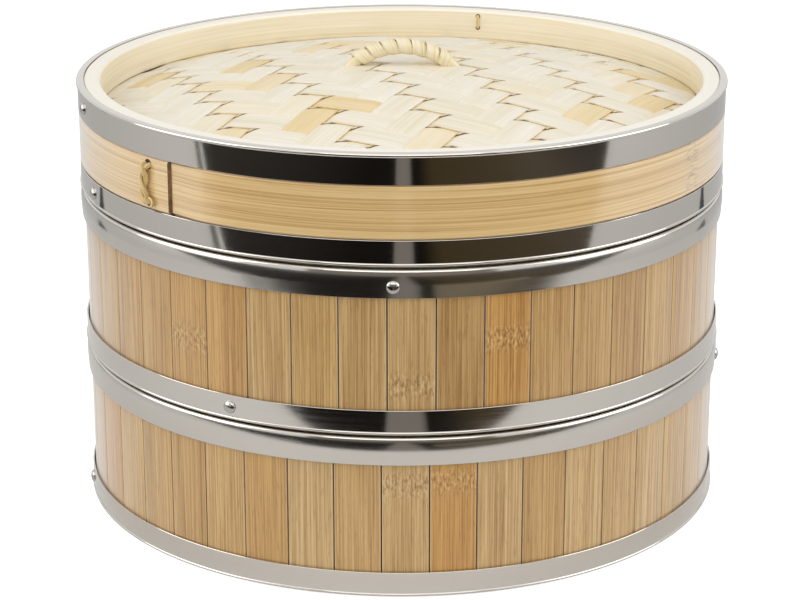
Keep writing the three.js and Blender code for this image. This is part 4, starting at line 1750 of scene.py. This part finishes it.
@dataclass(frozen=True)
class Stitch:
    """A cane stitch that goes into a hoop through two holes, shown as dark plugs of painted shade.

    Outward is 1 on an outer face and -1 on an inner one. A leg is how far each end goes into the wood, and
    a mouth how far a hole's rim goes into it and stands out of it.
    """

    angle: float
    levels: Pair
    outward: int
    proud: float
    strand_radius: float
    hole_radius: float
    leg: float = 1.2
    steepness: float = 2.6
    roundness: float = 0.8
    points: int = 60
    sides: int = 10
    mouth: Pair = (0.6, 0.06)
    mouth_sides: int = 16

    def path(self, face: float, base: float) -> np.ndarray:
        """The line of the stitch: out of the wood, along its face and in again.

        Args:
            face: Radius of the face that it lies on.
            base: Height of the lid's base.

        Returns:
            Points along it.
        """
        share = np.linspace(0, 1, self.points)
        low, high = self.levels
        height = base + low + (high - low) * (0.5 - 0.5 * np.cos(math.pi * share))
        out = np.minimum(1, self.steepness * np.sin(math.pi * share)) ** self.roundness
        reach = (self.proud + self.leg) * out - self.leg
        return around(face + self.outward * reach, np.full(self.points, self.angle), height)

    def strands(self, face: float, base: float) -> list[Shell]:
        """The stitch's strands on a face, over the lid's base."""
        return [tube(self.path(face, base), self.strand_radius, self.sides)]

    def mouths(self, face: float, base: float) -> list[Shell]:
        """The two holes, as dark plugs of painted shade.

        Args:
            face: Radius of the face that they go into.
            base: Height of the lid's base.

        Returns:
            One plug for each hole.
        """
        depth, height = self.mouth
        radii = np.array([face - depth * self.outward, face + height * self.outward])
        plugs = []
        for level in self.levels:
            axis = around(radii, np.full(2, self.angle), np.full(2, base + level))
            plugs.append(tube(axis, self.hole_radius, self.mouth_sides))
        return plugs


@dataclass(frozen=True)
class Lashing(Stitch):
    """Two strands twisted round each other, with a cut end that curls out beside the lower hole.

    The swing is how far a strand goes sideways and outwards, and the bow how far the middle hangs aside.
    """

    turns: float = 1.6
    bow: float = 1.1
    swing: Pair = (1.25, 0.6)
    end_start: int = 4
    end_aside: float = 1.6
    end_out: float = 0.5
    end_curl: float = 1.5
    end_turns: Pair = (-0.2, 0.55)
    end_radius: float = 0.6
    end_steps: tuple[int, int] = (24, 8)

    def strands(self, face: float, base: float) -> list[Shell]:
        """The twisted strands and the cut end.

        Args:
            face: Radius of the face that they lie on.
            base: Height of the lid's base.

        Returns:
            The three strands.
        """
        line = self.path(face, base)
        turn = np.linspace(0, 2 * math.pi * self.turns, self.points)
        bow = self.bow * np.sin(np.linspace(0, math.pi, self.points))
        facing = around(np.ones(1), np.array([self.angle]), np.zeros(1))[0]
        sideways = np.array((-facing[1], facing[0], 0.0))
        aside, out = self.swing
        shells = []
        for phase in (turn, turn + math.pi):
            twist = aside * np.cos(phase)[:, None] * sideways + out * np.sin(phase)[:, None] * facing
            strand = line + twist - bow[:, None] * sideways
            shells.append(tube(strand, self.strand_radius, self.sides))
        steps, sides = self.end_steps
        begin, end = self.end_turns
        curl = np.linspace(2 * math.pi * begin, 2 * math.pi * end, steps)[:, None]
        middle = line[self.end_start] + self.end_aside * sideways + self.end_out * facing
        tail = middle + self.end_curl * (np.cos(curl) * sideways + np.sin(curl) * (0, 0, 1))
        shells.append(tube(tail, self.end_radius, sides))
        return shells


@dataclass
class Lid:
    """The lid: a lapped hoop between two bands, hoops inside it that hold a woven dome, and the handle."""

    name: str
    base: float
    wall: Wall = Wall()
    height: float = 41.5
    strip_proud: float = 1.1
    strip_ease: float = 0.5
    strip_levels: Pair = (10.4, 29.8)
    lap_angle: float = -41.6
    lap_step: float = 1.2
    lap_slant: float = 0.4
    lap_length: float = 7.3
    lap_steps: int = 12
    strip_node: float = 58.0
    rim_levels: Pair = (28.5, 41.2)
    rim_lip: Pair = (123.85, 0.5)
    rim_lit_top: float = 0.6
    skirt_levels: Pair = (5.8, 25.1)
    hoop_start: float = 100.0
    hoop_tone: float = 0.6
    panel_edge: float = 28.5
    panel_drop: float = 0.5
    lining_drop: float = 2.5
    rise: float = 15.0
    lashing: Lashing = Lashing(-46.4, (13.1, 27.1), 1, proud=1.5, strand_radius=0.95, hole_radius=1.9)
    lashing_tone: float = 0.4
    tie: Stitch = Stitch(163.6, (33.9, 38.9), -1, proud=0.4, strand_radius=0.7, hole_radius=1.0)
    tie_tone: float = 0.7
    bands: tuple[SteelBand, SteelBand] = (
        SteelBand(
            Rim.TOP, height=11.4, roll_height=1.6, roll_proud=0.5, rivet_space=2.1, rivet_angle=-72.5
        ),
        SteelBand(
            Rim.BOTTOM,
            height=10.1,
            roll_height=1.2,
            roll_proud=0.4,
            rivet_space=1.4,
            rivet_angle=-67.3,
            lift=0.6,
        ),
    )

    def build_strip(self, shop: Workshop) -> None:
        """Builds the outer hoop, a bent strip whose end laps over its beginning.

        Args:
            shop: The finishes.
        """
        wall = self.wall
        low, high = self.base + wall.edge_inset, self.base + self.height - wall.edge_inset
        under, over = self.base + self.strip_levels[0], self.base + self.strip_levels[1]
        proud, ease = wall.radius + self.strip_proud, self.strip_ease
        section = [
            (wall.bore, low),
            (wall.radius, low),
            (wall.radius, under),
            (proud - ease, under),
            (proud, under + ease),
            (proud, over - ease),
            (proud - ease, over),
            (wall.radius, over),
            (wall.radius, high),
            (wall.bore, high),
        ]
        # It starts thinned under the lap and comes out to its full thickness.
        ramp = np.linspace(0, 1, self.lap_steps)
        begin = self.lap_angle + self.lap_slant
        rest = np.linspace(begin + self.lap_length, self.lap_angle + 360, RING_STEPS)[1:]
        degrees = np.concatenate([begin + ramp * self.lap_length, rest])
        sink = np.concatenate([self.lap_step * (1 - ramp * ramp * (3 - 2 * ramp)), np.zeros(len(rest))])
        strip = to_object(f"{self.name}_bent_strip", turned(section, degrees, sink), shop.hoop)
        # The last faces are the strip's sawn end.
        strip.data.materials.append(shop.end_grain)
        for face in strip.data.polygons[-len(section) :]:
            face.material_index = 1
        away = np.repeat(degrees - self.strip_node, len(section))
        away = (away - 360 * np.round(away / 360)) * math.radians(1) * wall.radius
        store(strip.data, "node_at", "POINT", away)
        fit(strip, self.name, Slot.HOOP, f"{self.name}_outer_hoop")

    def build_hoops(self, shop: Workshop) -> None:
        """Builds the rim hoop and the skirt hoop inside the strip.

        Args:
            shop: The finishes.
        """
        wall = self.wall
        for kind, levels in {"rim": self.rim_levels, "skirt": self.skirt_levels}.items():
            outline = wall.hoop_section(self.base, levels)
            top = self.base + levels[1]
            if kind == "rim":
                # Its top reaches out over the edge of the outer strip.
                reach, depth = self.rim_lip
                lip = [
                    (wall.hoop_radius, top - depth),
                    (reach, top - depth),
                    (reach, top - wall.sheet_ease),
                    (reach - wall.sheet_ease, top),
                ]
                outline = outline[:CORNER_STEPS] + lip + outline[2 * CORNER_STEPS :]
            shell = turned(outline, full_turn(self.hoop_start))
            # The top of the hoop is painted almost white, a painted highlight of the light from above.
            above = shell.points[:, 2] - top + wall.hoop_ease
            shell.edge = np.clip(above / (self.rim_lit_top * wall.hoop_ease), 0, 1)
            ring = to_object(f"{self.name}_{kind}_ring", shell, shop.rim, self.hoop_tone)
            fit(ring, self.name, Slot.INNER_HOOP, f"{self.name}_{kind}_hoop")

    def build_panels(self, shop: Workshop) -> None:
        """Builds the woven dome and the lining under it.

        Args:
            shop: The finishes and trees.
        """
        edge = self.base + self.panel_edge
        woven = Weave(
            f"{self.name}_weave", edge - self.panel_drop, self.rise, thickness=0.45, lift=0.5, seed=11
        )
        lining = Weave(
            f"{self.name}_lining",
            edge - self.lining_drop,
            self.rise,
            thickness=0.5,
            lift=0.26,
            seed=23,
            steps=110,
            turn=19.2,
        )
        layers = {"woven_panel": (woven, shop.splint), "lining_panel": (lining, shop.lining)}
        for node, (weave, finish) in layers.items():
            for over in (True, False):
                fit(weave.family(shop, finish, over), self.name, Slot.WEAVE, f"{self.name}_{node}")

    def build_stitches(self, shop: Workshop) -> None:
        """Builds the twisted lashing over the lap, the tie inside the rim, and dark plugs of painted shade in
        their holes.

        Args:
            shop: The finishes.
        """
        face, inner_face = self.wall.radius + self.strip_proud, self.wall.chamber_radius
        strands = joined(self.lashing.strands(face, self.base))
        lashing = to_object(f"{self.name}_twisted_lashing", strands, shop.lashing, self.lashing_tone)
        fit(lashing, self.name, Slot.CANE, f"{self.name}_lashing")
        strands = joined(self.tie.strands(inner_face, self.base))
        tie = to_object(f"{self.name}_rim_tie", strands, shop.lashing, self.tie_tone)
        fit(tie, self.name, Slot.CANE, f"{self.name}_rim_stitch")
        mouths = self.lashing.mouths(face, self.base) + self.tie.mouths(inner_face, self.base)
        holes = to_object(f"{self.name}_stitch_holes", joined(mouths), shop.hole_shadow)
        fit(holes, self.name, Slot.HOOP)

    def build(self, shop: Workshop) -> None:
        """Builds the lid.

        Args:
            shop: The finishes and trees.
        """
        self.build_strip(shop)
        self.build_hoops(shop)
        rims = {Rim.TOP: self.base + self.height, Rim.BOTTOM: self.base}
        build_bands(self.name, self.wall, self.bands, rims, (shop.steel, shop.steel), shop)
        self.build_panels(shop)
        self.build_stitches(shop)
        Handle(self.base + self.panel_edge + self.rise).build(self.name, shop)


@dataclass(frozen=True)
class Lamp:
    """A soft lamp that points at the steamer. Its place and size are metres, its power watts."""

    name: str
    place: Triple
    size: Pair
    power: float

    AIM: ClassVar[Triple] = (0.0, 0.0, 0.1)

    def hang(self) -> None:
        """Hangs the lamp in the scene, out of the camera's sight."""
        lamp = bpy.data.lights.new(self.name, "AREA")
        lamp.shape = "RECTANGLE"
        lamp.size, lamp.size_y = self.size
        lamp.energy = self.power
        hung = bpy.data.objects.new(self.name, lamp)
        hung.location = self.place
        aim = np.array(self.AIM) - np.array(self.place)
        tilt = math.atan2(math.hypot(aim[0], aim[1]), -aim[2])
        hung.rotation_euler = (tilt, 0.0, math.atan2(aim[1], aim[0]) - QUARTER)
        hung.visible_camera = False
        bpy.context.scene.collection.objects.link(hung)


def flat(x: Pair, y: Pair, height: float) -> list[Triple]:
    """The corners of a level rectangle."""
    return [(x[0], y[0], height), (x[1], y[0], height), (x[1], y[1], height), (x[0], y[1], height)]


def glowing(name: str, colour: str, strength: float = 1.0) -> Material:
    """Makes a material that only glows.

    Args:
        name: Its name.
        colour: Its colour.
        strength: How bright it is, where 1 shows the colour as it is.

    Returns:
        The material.
    """
    material = new_material(name)
    light = {"Color": linear(colour), "Strength": strength}
    glow = add_node(material.node_tree, "ShaderNodeEmission", light)
    add_node(material.node_tree, "ShaderNodeOutputMaterial", {"Surface": glow})
    return material


@dataclass
class Studio:
    """A white table with soft light, open to a dark room at the front, and the camera.

    Surround is the white world's strength as light and as it is seen. The table's paper has painted lamp
    light, bright up to one distance and dimmer at another, and it glows where the camera sees it and where
    the steel mirrors it.
    Its edge has a back, a front and a right end. Levels are the heights of the room's floor and of the cards
    over it. The room's wall has a half width, a place and a height, a post half widths and heights.
    """

    lens: float = 110.6
    sensor: float = 36.0
    camera_place: Triple = (0.0, -944.0, 388.9)
    pitch_down: float = 18.53
    shift: float = -1.8 / 800
    lamps: tuple[Lamp, ...] = (
        Lamp("top_light", (0.0, -0.35, 1.4), (1.6, 1.2), 3.5),
        Lamp("left_light", (-1.3, -0.3, 0.7), (1.25, 1.2), 9.5),
        Lamp("right_light", (1.3, -0.3, 0.7), (1.25, 1.2), 9.5),
        Lamp("front_light", (0.0, -1.6, 0.95), (1.6, 0.95), 8.0),
    )
    surround: Pair = (0.45, 1.0)
    table_reach: float = 3000.0
    table_lit_reach: Pair = (300.0, 460.0)
    table_colours: tuple[str, str] = ("#E6E6E6", "#CDCDCD")
    table_glow: Pair = (0.75, 0.05)
    table_front: float = -260.0
    table_edge: Triple = (-279.0, -286.0, -150.0)
    levels: Pair = (1.0, 2.0)
    room_half: float = 800.0
    room_shades: Stops = (
        (0.1, "#3A3835"),
        (0.3, "#2A2826"),
        (0.42, "#1A1816"),
        (0.4845, "#1A1816"),
        (0.4855, "#F0F0F0"),
        (0.487, "#F0F0F0"),
        (0.488, "#8A8682"),
        (0.519, "#8A8682"),
        (0.521, "#15130F"),
        (0.54, "#1C1A16"),
        (0.57, "#4A3F2C"),
        (0.72, "#524838"),
        (0.8, "#5C5448"),
        (0.88, "#45413B"),
    )
    mat: tuple[Pair, ...] = ((60, -400), (290, -380), (270, -322), (60, -330))
    room_wall: Triple = (900.0, -1500.0, 700.0)
    post_place: Pair = (385.0, 195.0)
    post_outline: tuple[Pair, ...] = ((32.0, 0.0), (10.0, 28.0), (8.0, 34.0))

    def card(self, name: str, corners: list[Triple], finish: Material, mirrored_only: bool = True) -> None:
        """Sets up a flat stage card.

        Args:
            name: Its name.
            corners: Its corners in millimetres.
            finish: Its material.
            mirrored_only: Whether only shiny surfaces see it.
        """
        mesh = bpy.data.meshes.new(name)
        mesh.from_pydata((np.array(corners) * MM).tolist(), [], [tuple(range(len(corners)))])
        mesh.materials.append(finish)
        card = link_new(name, mesh)
        if mirrored_only:
            card.visible_camera = card.visible_diffuse = card.visible_shadow = False

    def table_paper(self) -> Material:
        """Makes the table's white paper, which keeps the steamer's shadow.

        Returns:
            The material.
        """
        material = new_material("table_paper_white")
        tree = material.node_tree
        # Painted light: its colour is brightest under the lamps and darker away from them.
        place = add_node(tree, "ShaderNodeTexCoord").outputs["Object"]
        away = add_node(tree, "ShaderNodeVectorMath", {0: place}, operation="LENGTH").outputs["Value"]
        near, far = (distance * MM for distance in self.table_lit_reach)
        painted_falloff = add_node(tree, "ShaderNodeMapRange", {"Value": away, "From Min": near, "From Max": far})
        bright, painted_dimmer = (linear(colour) for colour in self.table_colours)
        colour = add_node(
            tree, "ShaderNodeMix", {0: painted_falloff, MIX_A: bright, MIX_B: painted_dimmer}, data_type="RGBA"
        ).outputs[MIX_OUT]
        paper = add_node(tree, "ShaderNodeBsdfDiffuse", {"Color": colour})
        # The camera sees it white, and the steel mirrors it a little brighter than the lamps leave it.
        path = add_node(tree, "ShaderNodeLightPath").outputs
        glossy, through = path["Is Glossy Ray"], path["Is Transmission Ray"]
        mirrored = add_node(tree, "ShaderNodeMath", {0: glossy, 1: through}, operation="MAXIMUM")
        seen_glow, mirrored_glow = self.table_glow
        faint = add_node(tree, "ShaderNodeMath", {0: mirrored, 1: mirrored_glow}, operation="MULTIPLY")
        share = add_node(
            tree,
            "ShaderNodeMath",
            {0: path["Is Camera Ray"], 1: seen_glow, 2: faint},
            operation="MULTIPLY_ADD",
        )
        glow = add_node(tree, "ShaderNodeEmission", {"Strength": share})
        both = add_node(tree, "ShaderNodeAddShader", {0: paper, 1: glow})
        add_node(tree, "ShaderNodeOutputMaterial", {"Surface": both})
        return material

    def room_dark(self) -> Material:
        """Makes the room's dark floor, whose shades go from left to right.

        Returns:
            The material.
        """
        material = new_material("room_dark")
        tree = material.node_tree
        place = add_node(tree, "ShaderNodeTexCoord").outputs["Object"]
        across = add_node(tree, "ShaderNodeSeparateXYZ", {0: place}).outputs["X"]
        half = self.room_half * MM
        aside = add_node(tree, "ShaderNodeMapRange", {"Value": across, "From Min": -half, "From Max": half})
        shade = add_node(tree, "ShaderNodeValToRGB", {"Fac": aside}, stops=self.room_shades)
        glow = add_node(tree, "ShaderNodeEmission", {"Color": shade})
        add_node(tree, "ShaderNodeOutputMaterial", {"Surface": glow})
        return material

    def room(self) -> None:
        """Sets up the table, and the room and the posts round it that only the steel mirrors."""
        low, high = self.levels
        reach = self.table_reach
        wide = (-reach, reach)
        self.card("table", flat(wide, wide, 0.0), self.table_paper(), mirrored_only=False)
        self.card("room_floor", flat(wide, (-reach, self.table_front), low), self.room_dark())
        back, lip, end = self.table_edge
        bright = glowing("table_edge_white", "#FFFFFF", 1.7)
        self.card("table_edge", flat((-reach, end), (lip, back), high), bright)
        self.card("room_mat", [(x, y, high) for x, y in self.mat], glowing("room_mat_grey", "#8E8674"))
        half, far, top = self.room_wall
        upright = [(-half, far, 0), (half, far, 0), (half, far, top), (-half, far, top)]
        self.card("room_wall", upright, glowing("room_grey", "#8C8680"))
        slate = glowing("post_slate", "#4C4E52")
        out, behind = self.post_place
        away = math.hypot(out, behind)
        for side, name in ((-1, "left_post"), (1, "right_post")):
            across = np.array((behind / away, -side * out / away, 0.0))
            foot = np.array((side * out, behind, 0.0))
            left = [foot - half * across + (0, 0, height) for half, height in self.post_outline]
            right = [foot + half * across + (0, 0, height) for half, height in reversed(self.post_outline)]
            self.card(name, [tuple(corner) for corner in left + right], slate)

    def world(self) -> None:
        """Sets the white surround: bright where the camera and the steel see it, softer as light."""
        world = bpy.data.worlds.new("white_surround")
        world.use_nodes = True
        tree = world.node_tree
        tree.nodes.clear()
        path = add_node(tree, "ShaderNodeLightPath").outputs
        seen = path["Is Camera Ray"]
        for ray in ("Is Glossy Ray", "Is Transmission Ray"):
            seen = add_node(tree, "ShaderNodeMath", {0: seen, 1: path[ray]}, operation="MAXIMUM")
        light, bright = self.surround
        strength = add_node(tree, "ShaderNodeMapRange", {"Value": seen, "To Min": light, "To Max": bright})
        white = {"Color": linear("#FFFFFF"), "Strength": strength}
        surround = add_node(tree, "ShaderNodeBackground", white)
        add_node(tree, "ShaderNodeOutputWorld", {"Surface": surround})
        bpy.context.scene.world = world

    def camera(self) -> None:
        """Sets the camera at the photograph's place."""
        eye = bpy.data.cameras.new("camera")
        eye.lens = self.lens
        eye.sensor_width = self.sensor
        eye.shift_x = self.shift
        stand = bpy.data.objects.new("camera", eye)
        stand.location = tuple(c * MM for c in self.camera_place)
        stand.rotation_euler = (math.radians(90 - self.pitch_down), 0.0, 0.0)
        bpy.context.scene.collection.objects.link(stand)
        bpy.context.scene.camera = stand

    def build(self) -> None:
        """Builds the studio."""
        self.room()
        for lamp in self.lamps:
            lamp.hang()
        self.world()
        self.camera()
        bpy.context.scene.view_settings.view_transform = "Standard"


def main() -> None:
    """Builds the steamer round its frame, and the studio round the steamer."""
    logging.basicConfig(level=logging.INFO, format="%(message)s")
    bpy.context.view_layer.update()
    shop = Workshop()
    levels = {body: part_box(f"{body}_bottom_band")[0].z / MM for body in ("lower_tier", "upper_tier", "lid")}
    Tier(
        "lower_tier",
        levels["lower_tier"],
        first_joint=-3.4,
        top_rivet=81.4,
        bottom_rivet=-79.7,
        seed=5,
        node_marks={0: 44.0, 1: 45.0},
    ).build(shop)
    Tier(
        "upper_tier",
        levels["upper_tier"],
        first_joint=-2.4,
        top_rivet=-1.4,
        bottom_rivet=-29.6,
        seed=9,
        node_marks={-5: 28.0, 0: 19.0, 2: 35.0},
    ).build(shop)
    Lid("lid", levels["lid"]).build(shop)
    Studio().build()
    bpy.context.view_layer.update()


if __name__ == "__main__":
    main()
